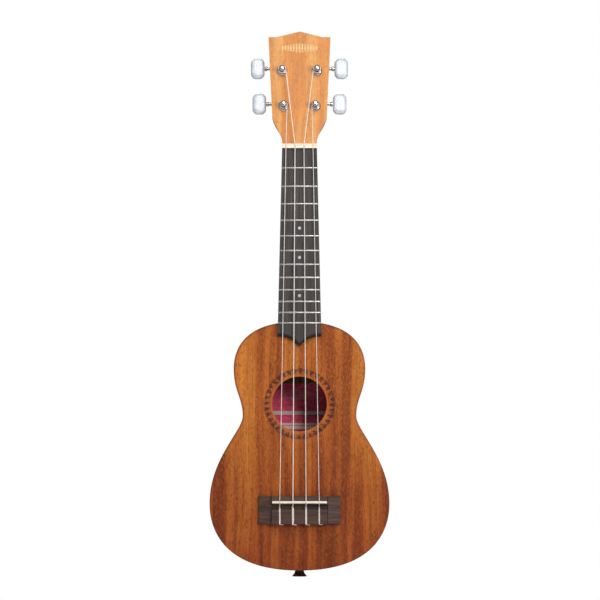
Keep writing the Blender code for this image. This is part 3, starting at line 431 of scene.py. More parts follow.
def cloudedPlastic(name, light, dark, size, roughness, coat, bumpStrength=0.05, depth=0.0):
    # moulded or polished plastic and bone: soft clouds of two shades under a clear gloss; depth is
    # the share of light that goes in and comes out nearby, which keeps the edges from going dark
    made, tree, place = newMaterial(name, {
        "Roughness": roughness, "Coat Weight": coat, "Coat Roughness": 0.08,
        "Subsurface Weight": depth, "Subsurface Scale": 0.004, "Subsurface Radius": (1, 1, 1)})
    cloud = noise(tree, place, (size, size, size), 3.0, distortion=1.2)
    colour = shaded(tree, cloud, (0.36, dark), (0.62, light))
    rough = stretched(tree, cloud, 0, 1, roughness * 0.8, roughness * 1.3)
    return finished(made, colour, rough, cloud, bumpStrength, 0.0002)


labelLook = {
    "ground": "#F65A7E", "shade": "#D84566", "band": "#E2D6CC", "patch": "#B9A29A",
    "bands": ((-264.0, -260.3), (-274.3, -272.3), (-278.2, -275.0)), "blur": 0.0002,
}


def printedLabel(name):
    # uncoated paper printed crimson: plain pale bands across it, a faint mottle of ink, and a worn
    # oval of paler ink above the bands
    look = labelLook
    made, tree, place = newMaterial(name, {"Roughness": 0.75, "Specular IOR Level": 0.3})
    ink = noise(tree, place, (5, 5, 3), 3.0, distortion=0.8)
    colour = shaded(tree, ink, (0.4, look["shade"]), (0.6, look["ground"]))
    up = addNode(tree, "SeparateXYZ", {}, {"Vector": place}, "Z")
    for low, high in look["bands"]:
        off = maths(tree, "ABSOLUTE", maths(tree, "SUBTRACT", up, (low + high) / 2000))
        half = (high - low) / 2000
        share = stretched(tree, off, half - look["blur"], half + look["blur"], 0.9, 0.0)
        colour = tinted(tree, colour, share, look["band"])
    oval = addNode(tree, "Mapping", {}, {
        "Vector": place, "Location": (0, 0, 14.4), "Scale": cells(17, 100, 17)})
    oval = maths(tree, "MULTIPLY", oval, (1, 0, 2.6), kind="VectorMath")
    oval = maths(tree, "LENGTH", oval, kind="VectorMath", out="Value")
    share = maths(tree, "MULTIPLY", stretched(tree, oval, 0.6, 1.1, 0.6, 0.0), ink)
    return finished(made, tinted(tree, colour, share, look["patch"]), None, ink, 0.1, 0.0001)


bodyWood = mahogany("satinMahogany", mahoganyLook, withGrain=True)
topWood = mahogany("satinMahoganyEtchedRound", mahoganyLook, withGrain=True, etched=True)
neckWood = mahogany("paleMahoganySatin", neckLook)
innerPaintedShadeWood = mahogany("planedSpruceDarkenedAsShade", innerShadeLook)
boardWood = streakedWood("oiledDarkBoard", "#2E2929", "#4B4646", (1.8, 6, 60), 0.55, "#1B1717", 0.6)
bridgeWood = streakedWood("oiledRosewood", "#33211A", "#563D32", (50, 5, 2.4), 0.5, "#1C110C", 0.7)
bone = cloudedPlastic("polishedBone", "#F3ECDA", "#E4D9C0", 4.0, 0.35, 0.2)
fretMetal = polishedMetal("nickelSilverDrawn", "#C0BEBC", "#ACAAA8", (8, 0.6, 0.6), 0.38)
plateMetal = polishedMetal("nickelPlatedSteel", "#CFCDCB", "#9E9B98", (1, 6, 1), 0.26)
chromeMetal = polishedMetal("brightChrome", "#C9C9CD", "#A5A5AA", (3, 3, 3), 0.14)
brassMetal = polishedMetal("cutBrass", "#C79A4E", "#8F6A30", (1.2, 3, 1.2), 0.32)
pearl = cloudedPlastic("polishedPearlPlastic", "#D4D9E0", "#C1C8D2", 9.0, 0.25, 0.2, 0.02, 0.5)
nylon = cloudedPlastic("clearNylonDrawn", "#F3E8E0", "#E2D2C8", 9.0, 0.3, 0.3, 0.05, 0.3)
blackPlastic = cloudedPlastic("mouldedBlackPlastic", "#1E1D1D", "#0B0B0B", 3.0, 0.35, 0.1, 0.2)
motifInk = cloudedPlastic("paleGoldPrint", "#E6C087", "#D8AA6C", 2.0, 0.45, 0.0)
labelPaper = printedLabel("crimsonPaperPrinted")
print("materials made")


# Body

# the last two sizes place the painted shade that darkens the lower bout
bodyLook = {
    "steps": 40, "upperAt": 46.9, "waistAt": 93.0, "lowerAt": 179.9, "length": 246.1, "upperHalf": 65.0,
    "waistHalf": 56.1, "lowerHalf": 88.9, "edgeRadius": 1.3, "depth": 58.0, "plate": 2.0, "side": 2.0,
    "hole": 27.0, "paintedShadeFrom": 80.0, "paintedShadeReach": 110.0,
}


def bezier(start, lead, trail, end, steps):
    t = np.linspace(0, 1, steps, endpoint=False)[:, None]
    start, lead, trail, end = (np.array(p, float) for p in (start, lead, trail, end))
    return (1 - t) ** 3 * start + 3 * t * (1 - t) ** 2 * lead + 3 * t * t * (1 - t) * trail + t**3 * end


def rightOutline(steps):
    # two bouts and a waist, each a place where the edge runs straight down, joined by cubic curves
    look = bodyLook
    upper, waist = bodyTop - look["upperAt"], bodyTop - look["waistAt"]
    lower, tail = bodyTop - look["lowerAt"], bodyTop - look["length"]
    first, second = upper - waist, waist - lower
    wide, narrow, widest = look["upperHalf"], look["waistHalf"], look["lowerHalf"]
    return np.concatenate([
        bezier((0, bodyTop), (0.87 * wide, bodyTop), (wide, mix(upper, bodyTop, 0.39)), (wide, upper), steps),
        bezier((wide, upper), (wide, upper - 0.47 * first), (narrow, waist + 0.37 * first),
               (narrow, waist), steps),
        bezier((narrow, waist), (narrow, waist - 0.18 * second), (widest, lower + 0.515 * second),
               (widest, lower), steps),
        bezier((widest, lower), (widest, mix(lower, tail, 0.37)), (0.857 * widest, tail), (0, tail), steps),
        np.array([[0.0, tail]]),
    ])


rightHalf = rightOutline(bodyLook["steps"])
outline = np.concatenate([rightHalf, rightHalf[-2:0:-1] * (-1, 1)])
outlineAlong = np.roll(outline, -1, axis=0) - np.roll(outline, 1, axis=0)
outlineInward = np.stack([outlineAlong[:, 1], -outlineAlong[:, 0]], axis=1)
outlineInward /= np.linalg.norm(outlineInward, axis=1, keepdims=True)
fromTop = np.concatenate([[0], np.cumsum(np.linalg.norm(np.diff(rightHalf, axis=0), axis=1))])
fromTail = fromTop[-1] - fromTop
fromTail = np.concatenate([fromTail, fromTail[-2:0:-1]])
outward = outline - holeCentre
outward /= np.linalg.norm(outward, axis=1, keepdims=True)


def atLevel(ring, level):
    return np.column_stack([ring, np.full(len(ring), level)])


def insetRing(inset, level):
    return atLevel(outline + inset * outlineInward, level)


def circleRing(radius, level):
    return atLevel(holeCentre + outward * radius, level)


def ringSkin(rings, closedPath):
    rings = np.asarray(rings)
    return skin(faceToWorld(rings[..., 0], rings[..., 1], rings[..., 2]), closedPath)


def paintedShadeShare(points):
    # painted shade: a thin dark line on the plate's rounded outer edge, and round the lower bout a darkening
    # where the light falls off, which fades inwards
    look = bodyLook
    at = np.stack([points[:, 0], points[:, 2]], axis=1) * 1000
    gap = np.min(np.linalg.norm(at[:, None] - outline[None], axis=2), axis=1)
    line = 0.6 * (1 - smoothStep((gap - 0.4) / 2.2))
    # painted shade: the body darkens towards its bottom, from a set distance below its top
    low = smoothStep((bodyTop - look["paintedShadeFrom"] - at[:, 1]) / look["paintedShadeReach"])
    return np.maximum(line, low * (0.46 + 0.14 * (1 - smoothStep(gap / 16))))


def buildPlates():
    # each plate's rings run from its middle out over the rounded edge and back; the grain runs up the
    # plate, so its pattern is read from the points themselves, shifted on the back
    look = bodyLook
    r, plate, depth, hole = look["edgeRadius"], look["plate"], look["depth"], look["hole"]
    corner = [insetRing(r * (1 - math.sin(a)), -r * (1 - math.cos(a)))
              for a in np.radians((0, 22, 45, 68, 90))]
    rings = [circleRing(hole, 0.2 - plate), circleRing(hole, -0.4), circleRing(hole + 0.12, -0.12)]
    rings += between(circleRing(hole + 0.4, 0), insetRing(7, 0), 0, 0.12, 0.3, 0.5, 0.7, 0.88, 1)
    rings += [insetRing(5, 0), insetRing(3, 0), insetRing(2, 0)] + corner + [insetRing(0, -plate)]
    rings += between(insetRing(3, -plate), circleRing(hole, -plate), 0, 0.5, 0.98)
    points, faces = ringSkin(rings, True)
    newPiece("soundboardPlate", (points, faces), topWood, root, ["soundboard"],
             attributes={"grain": points, "edge": paintedShadeShare(points)})
    rings = between(circleRing(0.5, plate - depth), insetRing(0, plate - depth), 0, 0.3, 0.6, 0.9, 1)
    rings += [ring * (1, 1, -1) - (0, 0, depth) for ring in corner[::-1]]
    rings += [insetRing(2, -depth), insetRing(3, -depth), insetRing(5, -depth)]
    rings += between(insetRing(7, -depth), circleRing(0.5, -depth), 0, 0.2, 0.5, 0.8, 1)
    points, faces = ringSkin(rings, False)
    newPiece("backPlate", (points, faces), bodyWood, root, ["back"],
             attributes={"grain": points + (0.31, 0, 0.17), "edge": paintedShadeShare(points)})


def buildSides():
    # the rim: the outline and the same a side's thickness inside it, bent from one strip, its grain
    # running round the body
    plate, depth, side = bodyLook["plate"], bodyLook["depth"], bodyLook["side"]
    top, low = -plate - 0.03, plate - depth + 0.03
    levels = np.linspace(top, low, 7)
    inside = [insetRing(side, level) for level in levels[::-1]]
    rings = np.asarray([insetRing(0, level) for level in levels] + inside)
    grain = np.zeros(rings.shape)
    grain[..., 0] = rings[..., 2] * 0.001
    grain[..., 1] = 0.2
    grain[..., 2] = fromTail * 0.001
    # painted shade: the sides are darkened within 3 mm of the top and the back, along their joins with the
    # plates
    near = np.minimum(np.abs(rings[..., 2] - top), np.abs(rings[..., 2] - low))
    newPiece("bentSides", ringSkin(rings, True), bodyWood, root,
             ["side_bass", "side_treble"],
             attributes={"grain": grain.reshape(-1, 3), "edge": 0.35 * (1 - smoothStep(near / 3)).ravel()})


buildPlates()
buildSides()
# the braces, linings and blocks take the darkened inner wood, which paints the shade inside the body
for name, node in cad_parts.items():
    if name.startswith(("lining_", "brace_")) or name.endswith("_block"):
        node.data.materials.clear()
        node.data.materials.append(innerPaintedShadeWood)

labelSize = {"half": 33.0, "low": -279.8, "high": -233.5, "thick": 0.15, "backLevel": -55.98, "corner": 0.18}


def buildLabel():
    # a sheet of paper on the inside of the back: a low power of cosine and sine rounds its corners
    look = labelSize
    middle, tall = (look["low"] + look["high"]) / 2, (look["high"] - look["low"]) / 2
    angle = roundAngles(96)
    x = look["half"] * np.sign(np.cos(angle)) * np.abs(np.cos(angle)) ** look["corner"]
    y = middle + tall * np.sign(np.sin(angle)) * np.abs(np.sin(angle)) ** look["corner"]
    low, high = look["backLevel"], look["backLevel"] + look["thick"]
    newPiece("insideLabel", extruded(np.column_stack([x, y]), low, high, faceToWorld), labelPaper, root)


buildLabel()
print("body made")


# Neck, head and fretboard

neckSizes = {
    "nutWidth": 34.5, "widthAtBody": 42.7, "depthAtNut": 14.5, "depthAtHeel": 16.5, "heelDepth": 50.0,
    "heelReach": 32.0, "headThick": 12.0, "headLength": 108.4, "headPeak": 5.9, "peakHalf": 20.0, "tip": 9.0,
    "throat": 17.35, "shoulder": 26.9, "top": 30.7, "throatAt": 3.0, "shoulderAt": 27.0, "edge": 0.7,
}


def neckHalf(y):
    look = neckSizes
    return look["nutWidth"] / 2 - (look["widthAtBody"] - look["nutWidth"]) / scaleLength * y


def headHalf(u):
    # straight at the throat, swinging out to the shoulder, then a slow flare to the top
    look = neckSizes
    share = np.clip((u - look["throatAt"]) / (look["shoulderAt"] - look["throatAt"]), 0, 1)
    swing = 0.45 * share**2 * (3 - 2 * share) + 0.55 * share
    flare = np.clip((u - look["shoulderAt"]) / (look["headLength"] - look["shoulderAt"]), 0, 1)
    return mix(look["throat"], look["shoulder"], swing) + (look["top"] - look["shoulder"]) * flare


def buildNeck():
    # a flat top and a belly under it: across each station the belly's depth is a power of the sine
    # of an angle and the width the same power of its cosine, from nearly round to nearly square
    look = neckSizes
    length, reach, tip = look["headLength"], look["heelReach"], look["tip"]
    heel = bodyTop + reach * np.array([0, 0.02, 0.05, 0.1, 0.16, 0.24, 0.34, 0.46, 0.6, 0.8, 1])
    shaft = np.linspace(bodyTop + reach + 8, -4, 16)
    throat = headStart + np.linspace(0, look["shoulderAt"] + 6, 30)
    upper = headStart + np.linspace(look["shoulderAt"] + 12, length - tip, 8)
    top = headStart + length - tip + np.linspace(0.1, 1, 8) * tip
    p = np.concatenate([heel, shaft, [0], throat, upper, top])[:, None]
    t = np.linspace(0, 1, 49)[None, :]
    angle = math.pi * (0.5 - 0.5 * np.cos(math.pi * t))
    turn = smoothStep((p - headStart + 2) / 20)
    shape = smoothStep((p - 2) / 26)
    near = np.clip((p - bodyTop) / reach, 0, 1)
    depth = mix(look["depthAtNut"], look["depthAtHeel"], np.clip(p / bodyTop, 0, 1))
    swell = 1 - np.sqrt(np.clip(1 - (1 - near) ** 2, 0, 1))
    depth = depth + (look["heelDepth"] - look["depthAtHeel"]) * swell
    depth = mix(depth, look["headThick"], shape)
    power = mix(0.9, 0.13, shape)
    past = np.maximum(p - headStart, 0)
    half = np.where(p > headStart, headHalf(past), neckHalf(p))
    cosine, sine = np.cos(angle), np.abs(np.sin(angle))
    sine[:, [0, -1]] = 0
    x = half * np.sign(cosine) * np.abs(cosine) ** power
    fall = depth * sine**power
    peak = look["headPeak"] * np.clip(1 - np.abs(x) / look["peakHalf"], 0, 1) ** 1.7
    past = past + peak * np.clip((past - length + tip) / tip, 0, 1)
    shoulder = rightHalf[:bodyLook["steps"]]
    edge = np.interp(np.abs(x), shoulder[:, 0], shoulder[:, 1]) - bodyTop
    along = np.minimum(p, headStart) + edge * (1 - smoothStep((p - bodyTop) / 8))
    y = along + past * math.cos(headTilt)
    z = -past * math.sin(headTilt)
    lean = headTilt * turn
    top = faceToWorld(x, y, z)
    bottom = faceToWorld(x, y - fall * np.sin(lean), z - fall * np.cos(lean))
    newPiece("neckAndHead", slab(top, bottom), neckWood, root, ["neck"],
             sharp=45, bevel=look["edge"])


boardSizes = {
    "top": 4.8, "endAt": -185.5, "tip": 9.4, "round": 2.7, "edge": 0.4, "frets": 12, "wireHalf": 0.95,
    "crown": 0.9, "dotHalf": 1.5,
}


def buildFretboard():
    # straight sides to the corners of its end, then an ogee to a point in the middle; the top
    # rounds over to the end in a quarter circle
    look = boardSizes
    half = neckHalf(look["endAt"])
    curve = bezier((1, 0), (0.6, -0.1), (0.4, -0.2), (0.12, -0.78), 30)
    curve = np.concatenate([curve, [[0.12, -0.78], [0.04, -1.0], [0, -1.0]]])[::-1]
    side = np.sin(np.linspace(-1, 1, 61) * math.pi / 2)[None, :]
    endY = look["endAt"] + look["tip"] * np.interp(np.abs(side), curve[:, 0], curve[:, 1])
    straight = np.linspace(-0.15, look["endAt"] + 6, 40)[:, None] + 0 * side
    past = np.array([4.5, 3.4, 2.7, 2.1, 1.5, 1, 0.6, 0.3, 0.1, 0])[:, None]
    y = np.concatenate([straight, endY + past])
    x = side * np.where(y > look["endAt"], neckHalf(y), half)
    fall = look["round"] * (1 - np.sqrt(1 - np.clip(1 - (y - endY) / look["round"], 0, 1) ** 2))
    # painted shade: the board's top is darkened nearly black over the last few mm before its end, where it
    # rounds over, as shadow on the end
    shade = 0.92 * (1 - smoothStep((y - endY - 2.4) / 1.6))
    shape = slab(faceToWorld(x, y, look["top"] - fall), faceToWorld(x, y, 0.02))
    newPiece("fretboardPlank", shape, boardWood, root, ["fretboard"], bevel=look["edge"],
             attributes={"edge": np.tile(shade.ravel(), 2)})


def fretAt(number):
    return -scaleLength * (1 - 2 ** (-number / 12))


def buildFrets():
    # an arched crown carried across the board, its ends filed down at a slant
    look = boardSizes
    angle = np.linspace(0, math.pi, 11)
    arch = np.column_stack([look["wireHalf"] * np.cos(angle), look["crown"] * np.sin(angle)])
    section = np.concatenate([arch, [[-look["wireHalf"], -0.12], [look["wireHalf"], -0.12]]])
    height = np.array([0.25, 0.75, 1, 1, 1, 0.75, 0.25])[:, None]
    for number in range(1, look["frets"] + 1):
        y = fretAt(number)
        half = neckHalf(y) - 0.05
        x = np.array([-half, -half + 0.25, -half + 0.7, 0, half - 0.7, half - 0.25, half])[:, None]
        rings = faceToWorld(x, y + section[:, 0], look["top"] + 0.15 + section[:, 1] * height)
        newPiece(f"fretWire{number:02d}", skin(rings), fretMetal, root, [f"fret_{number:02d}"])


def buildDots():
    # three pearl dots let into the board on its middle line
    half, top = boardSizes["dotHalf"], boardSizes["top"] + 0.04
    for count, number in enumerate((5, 7, 10)):
        y = (fretAt(number) + fretAt(number - 1)) / 2
        shape = lathe([(half, top - 0.5), (half, top - 0.03), (half - 0.08, top)],
                      lambda x, u, n, y=y: faceToWorld(x, y + u, n), 32)
        newPiece(f"boardDot{count + 1}", shape, pearl, root)


nutSizes = {"half": 17.25, "top": 7.7, "fall": 2.9, "thick": 4.7, "flat": 1.6, "slotFloor": 6.3, "edge": 0.35}
stringSizes = {
    "radii": (0.36, 0.5, 0.42, 0.33), "atNut": 8.9, "atSaddle": 13.0, "overNut": 6.6, "tieHole": 5.2,
    "turns": 2.5,
}


def buildNut():
    # its height falls away towards the head; a slot for each string holds it down to a floor
    look = nutSizes
    y = np.array([0.1, 0.4, 1.0, look["flat"], 2.2, 3.1, 3.9, look["thick"]])[:, None]
    share = np.clip((y - look["flat"]) / (look["thick"] - look["flat"]), 0, 1)
    height = look["top"] - look["fall"] * share**1.2
    columns, floors = [-look["half"]], [uncut]
    for order, radius in enumerate(stringSizes["radii"]):
        middle, half = (order - 1.5) * stringSizes["atNut"], radius + 0.12
        columns += [middle - half, middle - half, middle + half, middle + half]
        floors += [uncut, look["slotFloor"], look["slotFloor"], uncut]
    x = np.array(columns + [look["half"]])[None, :] + 0 * y
    top = faceToWorld(x, y, np.minimum(height, np.array(floors + [uncut])[None, :]))
    newPiece("boneNut", slab(top, faceToWorld(x, y, 0.05)), bone, root, ["nut"], bevel=look["edge"])


motifSizes = {
    "middle": 97.2, "count": 13, "pitch": 2.8, "wide": 1.0, "tall": 6.2, "fall": 0.6, "bead": 0.6,
    "thick": 0.05,
}


def buildMotif():
    # a generic row of slim lozenges with a bead above and below between each two, printed on the head
    look, shapes = motifSizes, []

    def lozenge(wide, tall, x, u):
        points = np.array([[wide, 0], [0, tall], [-wide, 0], [0, -tall]]) + (x, u)
        shapes.append(extruded(points, 0.0, look["thick"], headToWorld))

    reach = look["count"] // 2
    for step in range(-reach, reach + 1):
        tall = look["tall"] - look["fall"] * abs(step)
        lozenge(look["wide"], tall, step * look["pitch"], look["middle"])
        if step < reach:
            for lift in (-0.62 * tall, 0.62 * tall):
                lozenge(look["bead"], look["bead"], (step + 0.5) * look["pitch"], look["middle"] + lift)
    newPiece("headMotif", together(*shapes), motifInk, root)


buildNeck()
buildFretboard()
buildFrets()
buildDots()
buildNut()
buildMotif()
print("neck and head made")


# Bridge, saddle and strings. The strings wind round the tuners' posts, so those sizes come first.

tunerSizes = {
    "postRadius": 3.0, "postHeight": 12.5, "ferruleHalf": 5.3, "ferruleTop": 2.0, "wormLevel": -17.5,
    "wormAlong": 6.85, "wormTip": 2.95, "wormRoot": 1.5, "wormHalf": 5.1, "wormPitch": 2.3, "gearPitch": 4.55,
    "lead": math.pi * 0.65, "teeth": 14, "gearWidth": 3.0, "gearTip": 5.2, "gearRoot": 3.75,
    "buttonFrom": 17.35, "buttonHalf": (6.75, 10.4, 4.0), "buttonCut": (0.763, 0.647, 9.6), "buttonPower": 24,
    "plateHalf": 6.5, "plateLow": -12.3, "plateHigh": 18.7, "plateTop": -12.05, "plateUnder": -13.3,
    "screws": (-9.5, 15.9),
}
bridgeSizes = {
    "half": 40.5, "front": -343.6, "back": -371.2, "endHeight": 2.8, "wingHeight": 4.4, "block": 27.45,
    "blockHeight": 8.0, "slope": 0.6, "saddleAt": -349.6, "saddleHalf": 1.2, "slotFloor": 4.6,
    "channelFrom": -352.1, "channelTo": -356.7, "channelFloor": 3.4, "edge": 0.7, "saddleTop": 10.3,
}


def buildBridge():
    # wings that scoop up to a level block; the saddle's slot and the tie channel cut across the block
    look = bridgeSizes
    front, back, slot = look["front"], look["back"], look["saddleHalf"] + 0.15
    wing = np.array([1, 0.9, 0.75, 0.6, 0.45, 0.3, 0.15, 0.05, 0.0])
    inner = look["block"] + look["slope"]
    wingX = inner + (look["half"] - inner) * wing
    wingZ = mix(look["wingHeight"], look["endHeight"], wing**0.7)
    x = np.concatenate([-wingX, [-look["block"], 0, look["block"]], wingX[::-1]])[None, :]
    z = np.concatenate([wingZ, [look["blockHeight"]] * 3, wingZ[::-1]])[None, :]
    rows = [(front, uncut), (front - 1.2, uncut)]
    for start, end, floor in ((look["saddleAt"] + slot, look["saddleAt"] - slot, look["slotFloor"]),
                              (look["channelFrom"], look["channelTo"], look["channelFloor"])):
        rows += [(start, uncut), (start, floor), (end, floor), (end, uncut)]
    rows = np.array(rows + [(back + 4.5, uncut), (back + 1.5, uncut), (back, uncut)])
    y, floor = rows[:, :1], rows[:, 1:]
    height = np.where(np.abs(x) <= look["block"] + 0.01, np.minimum(z, floor), z)
    newPiece("bridgeCarved", slab(faceToWorld(x, y, height), faceToWorld(x, y, 0.02 + 0 * height)),
             bridgeWood, root, ["bridge"], bevel=look["edge"])


def buildSaddle():
    # one arched section carried along the slot, its ends eased
    half, top = bridgeSizes["saddleHalf"], bridgeSizes["saddleTop"]
    angle = np.linspace(0, math.pi, 9)
    section = np.column_stack([half * np.cos(angle), top - 1 + np.sin(angle)])
    section = np.concatenate([section, [[-half, 4.9], [half, 4.9]]])
    x = np.array([-27.1, -26.9, -26.5, 26.5, 26.9, 27.1])[:, None]
    drop = np.array([0.5, 0.12, 0, 0, 0.12, 0.5])[:, None] * (section[:, 1] > 6)
    rings = faceToWorld(x, bridgeSizes["saddleAt"] + section[:, 0], section[:, 1] - drop)
    newPiece("boneSaddle", skin(rings), bone, root, ["saddle"])


def onFace(*points):
    return faceToWorld(*np.array(points).T)


def buildStrings():
    # each string is tied round the block, runs over saddle and nut, and ends in a coil round its post
    wound = ("bass_lower", "bass_upper", "treble_upper", "treble_lower")
    look, sizes = bridgeSizes, stringSizes
    bend = 0.0009  # metres from each corner of a path to the ends of its arc
    over, hole, back, channel = look["blockHeight"], sizes["tieHole"], look["back"], look["channelTo"]
    turn = 2 * math.pi * np.linspace(0, sizes["turns"], 81)
    for order, (name, tuner, r) in enumerate(zip("gcea", wound, sizes["radii"])):
        x0, u0, side = tuners[tuner]
        x, atNut = (order - 1.5) * sizes["atSaddle"], (order - 1.5) * sizes["atNut"]
        upper, behind, rear = over + r + 0.1, back - r - 0.2, back - r - 0.15
        saddle, nut = look["saddleTop"] + r, sizes["overNut"] + r - 0.12
        around, pitch = tunerSizes["postRadius"] + 0.12 + r, 2 * r + 0.12
        start = tunerSizes["ferruleTop"] + 0.3 + r + sizes["turns"] * pitch + 0.6
        run = onFace((x - r, channel + 1.5, upper - 1.8), (x - r, channel - 0.5, upper),
                     (x - 0.9 * r, back + 0.8, upper), (x - 0.5 * r, behind, over - 0.9),
                     (x, behind, hole + 0.3), (x, back + 2, hole), (x, channel + 0.3, hole),
                     (x, look["channelFrom"] - 1.4, hole + 1.6), (x, look["saddleAt"] - 0.8, saddle - 0.05),
                     (x, look["saddleAt"] + 0.6, saddle + 0.1), (atNut, 0.3, nut), (atNut, 3.1, nut))
        run = np.concatenate([run, headToWorld(x0 - side * around, u0, start)[None]])
        run = tube(roundedPath(run, bend), r * 0.001, (1, 0, 0.001))
        newPiece(f"stringRun_{name}", run, nylon, root, [f"string_{name}"])
        # the end twists once round the run in the channel, lies beside the first pass over the tie
        # block and tucks in along its rear edge
        tail = onFace((x - r - 0.7, channel + 1.9, hole + 1.0), (x + 0.1, channel + 1.9, upper - 0.3),
                      (x + r, channel - 0.2, upper + 0.15), (x + r, channel - 2.5, upper),
                      (x + 1.3 * r, back + 5, upper), (x + r, back + 1.0, upper),
                      (x + 1.2 * r, rear, over - 1.0), (x + 1.6, rear, over - 1.9),
                      (x + 3.6, rear, over - 2.0))
        tail = tube(roundedPath(tail, bend), r * 0.001, (0.2, 1, -0.6))
        newPiece(f"stringTail_{name}", tail, nylon, root)
        # a helix round the post, from where the run meets it down to the ferrule
        coil = headToWorld(x0 - side * around * np.cos(turn), u0 + around * np.sin(turn),
                           start - turn / (2 * math.pi) * pitch)
        axis = headToWorld(0, 0, 1) - headToWorld(0, 0, 0)
        newPiece(f"stringCoil_{name}", tube(coil, r * 0.001, axis), nylon, f"spindle_{tuner}")


buildBridge()
buildSaddle()
buildStrings()
print("bridge and strings made")


# Tuners

def roundedRectangle(halfAcross, low, high, radius, steps=6):
    angle = np.linspace(0, math.pi / 2, steps)
    quarter = radius * np.column_stack([np.cos(angle), np.sin(angle)])
    corners = []
    for turn, (x, y) in enumerate(((1, high), (-1, high), (-1, low), (1, low))):
        c, s = round(math.cos(turn * math.pi / 2)), round(math.sin(turn * math.pi / 2))
        spun = quarter @ np.array([[c, s], [-s, c]])
        middle = (x * (halfAcross - radius), y - radius if y == high else y + radius)
        corners.append(spun + middle)
    return np.concatenate(corners)


def screwHead(place, radius, height):
    # a low dome with a cross cut into it: the dome's height less a fixed depth near either axis
    share = np.array([1.0, 1.0, 0.97, 0.85, 0.7, 0.55, 0.45, 0.35, 0.25, 0.15, 0.05])[:, None]
    angle = roundAngles(48)[None, :]
    x, y = radius * share * np.cos(angle), radius * share * np.sin(angle)
    level = height * np.sqrt(np.clip(1 - (share * 0.95) ** 2, 0, 1)) + 0 * angle
    level[0] = 0
    cross = np.minimum(np.abs(x), np.abs(y)) < 0.11 * radius
    level = level - 0.45 * height * (cross & (share < 0.6))
    return skin(place(x, y, level))


def buildPosts():
    look = tunerSizes
    r, wide, high = look["postRadius"], look["ferruleHalf"], look["ferruleTop"]
    postProfile = [
        (2.0, -18.8), (2.0, -13.4), (r, -13.3), (r, 1.0), (r - 0.05, 3.0), (r - 0.35, 5.0), (r - 0.4, 7.0),
        (r - 0.25, 8.6), (r, 9.6), (r, 10.9), (r - 0.15, 11.5), (r - 0.6, 12.0), (r - 1.3, 12.35),
        (r - 2.2, look["postHeight"])]
    ferruleProfile = [
        (4.1, -8), (4.1, 0.05), (wide, 0.05), (wide, 0.7), (wide - 0.25, 1.15), (wide - 0.9, 1.6),
        (4.0, high - 0.1), (3.5, high), (3.25, high - 0.15), (3.2, 1.0), (3.2, -8)]
    for name, (x0, u0, _) in tuners.items():
        newPiece(f"postTurned_{name}", lathe(postProfile, onHead(x0, u0)), chromeMetal, f"spindle_{name}",
                 [f"post_{name}"], sharp=50)
        newPiece(f"ferruleTurned_{name}", lathe(ferruleProfile, onHead(x0, u0), bored=True), chromeMetal,
                 root, [f"ferrule_{name}"], sharp=50)


def buildGears():
    # teeth: the rim's radius rises from root to tip and back once for every tooth, twisted to the worm
    look = tunerSizes
    wide, level = look["gearWidth"] / 2, look["wormLevel"]
    angle = roundAngles(look["teeth"] * 12)
    twist = look["lead"] / (2 * math.pi * look["wormPitch"]) / look["gearPitch"]
    rim = []
    for n in np.linspace(-wide, wide, 4):
        phase = (angle - n * twist - math.pi / 2) * look["teeth"] / (2 * math.pi)
        off = np.abs(phase - np.floor(phase) - 0.5)
        rim.append((mix(look["gearRoot"], look["gearTip"], smoothStep((0.33 - off) / 0.22)), level + n))
    under = [(0.5, level - wide + 0.25), (3.1, level - wide + 0.25), (3.3, level - wide)]
    hub = [(3.4, level + wide), (3.2, level + wide + 0.1), (3.2, level + 3.7), (2.0, level + 3.75)]
    for name, (x0, u0, _) in tuners.items():
        rings = [headToWorld(x0 + r * np.cos(angle), u0 + r * np.sin(angle), n) for r, n in under + rim + hub]
        newPiece(f"gearCut_{name}", skin(rings), brassMetal, f"spindle_{name}", [f"gear_{name}"],
                 sharp=35)
        newPiece(f"gearScrew_{name}", screwHead(onHead(x0, u0, level - wide + 0.2), 2.5, 1.0), plateMetal,
                 f"spindle_{name}", sharp=30)


def buildWorms():
    # one surface of place along the shaft and angle round it: the radius rises from root to tip
    # within a fixed distance of the helix, and a plain shaft and a collar follow towards the button
    look = tunerSizes
    angle = roundAngles(32)[None, :]
    start = np.array([(0.2, -7.1), (1.45, -7.1), (1.75, -6.8), (1.75, -5.2), (1.55, -5.12)])
    thread = np.linspace(-look["wormHalf"], look["wormHalf"], 140)[:, None]
    end = np.array([(1.55, 5.12), (1.75, 5.2), (1.75, 14.6), (2.1, 14.75), (2.5, 15.2), (2.5, 16.3),
                    (2.3, 17.0), (1.75, 17.05), (1.75, 25.9), (0.2, 25.95)])
    along = np.concatenate([start[:, 1:], thread, end[:, 1:]])
    for name, (x0, u0, side) in tuners.items():
        phase = (angle - math.pi) / (2 * math.pi) - side * thread / look["lead"]
        off = np.abs(phase - np.round(phase)) * look["lead"]
        rise = np.clip((0.68 - off) / (0.68 - 0.154), 0, 1) * smoothStep((4.9 - np.abs(thread)) / 0.8)
        radius = mix(look["wormRoot"], look["wormTip"], rise)
        radius = np.concatenate([start[:, :1] + 0 * angle, radius, end[:, :1] + 0 * angle])
        rings = headToWorld(x0 + side * along, u0 + look["wormAlong"] + radius * np.cos(angle),
                            look["wormLevel"] + radius * np.sin(angle))
        newPiece(f"wormCut_{name}", skin(rings), plateMetal, f"winder_{name}",
                 [f"worm_shaft_{name}"], sharp=35)


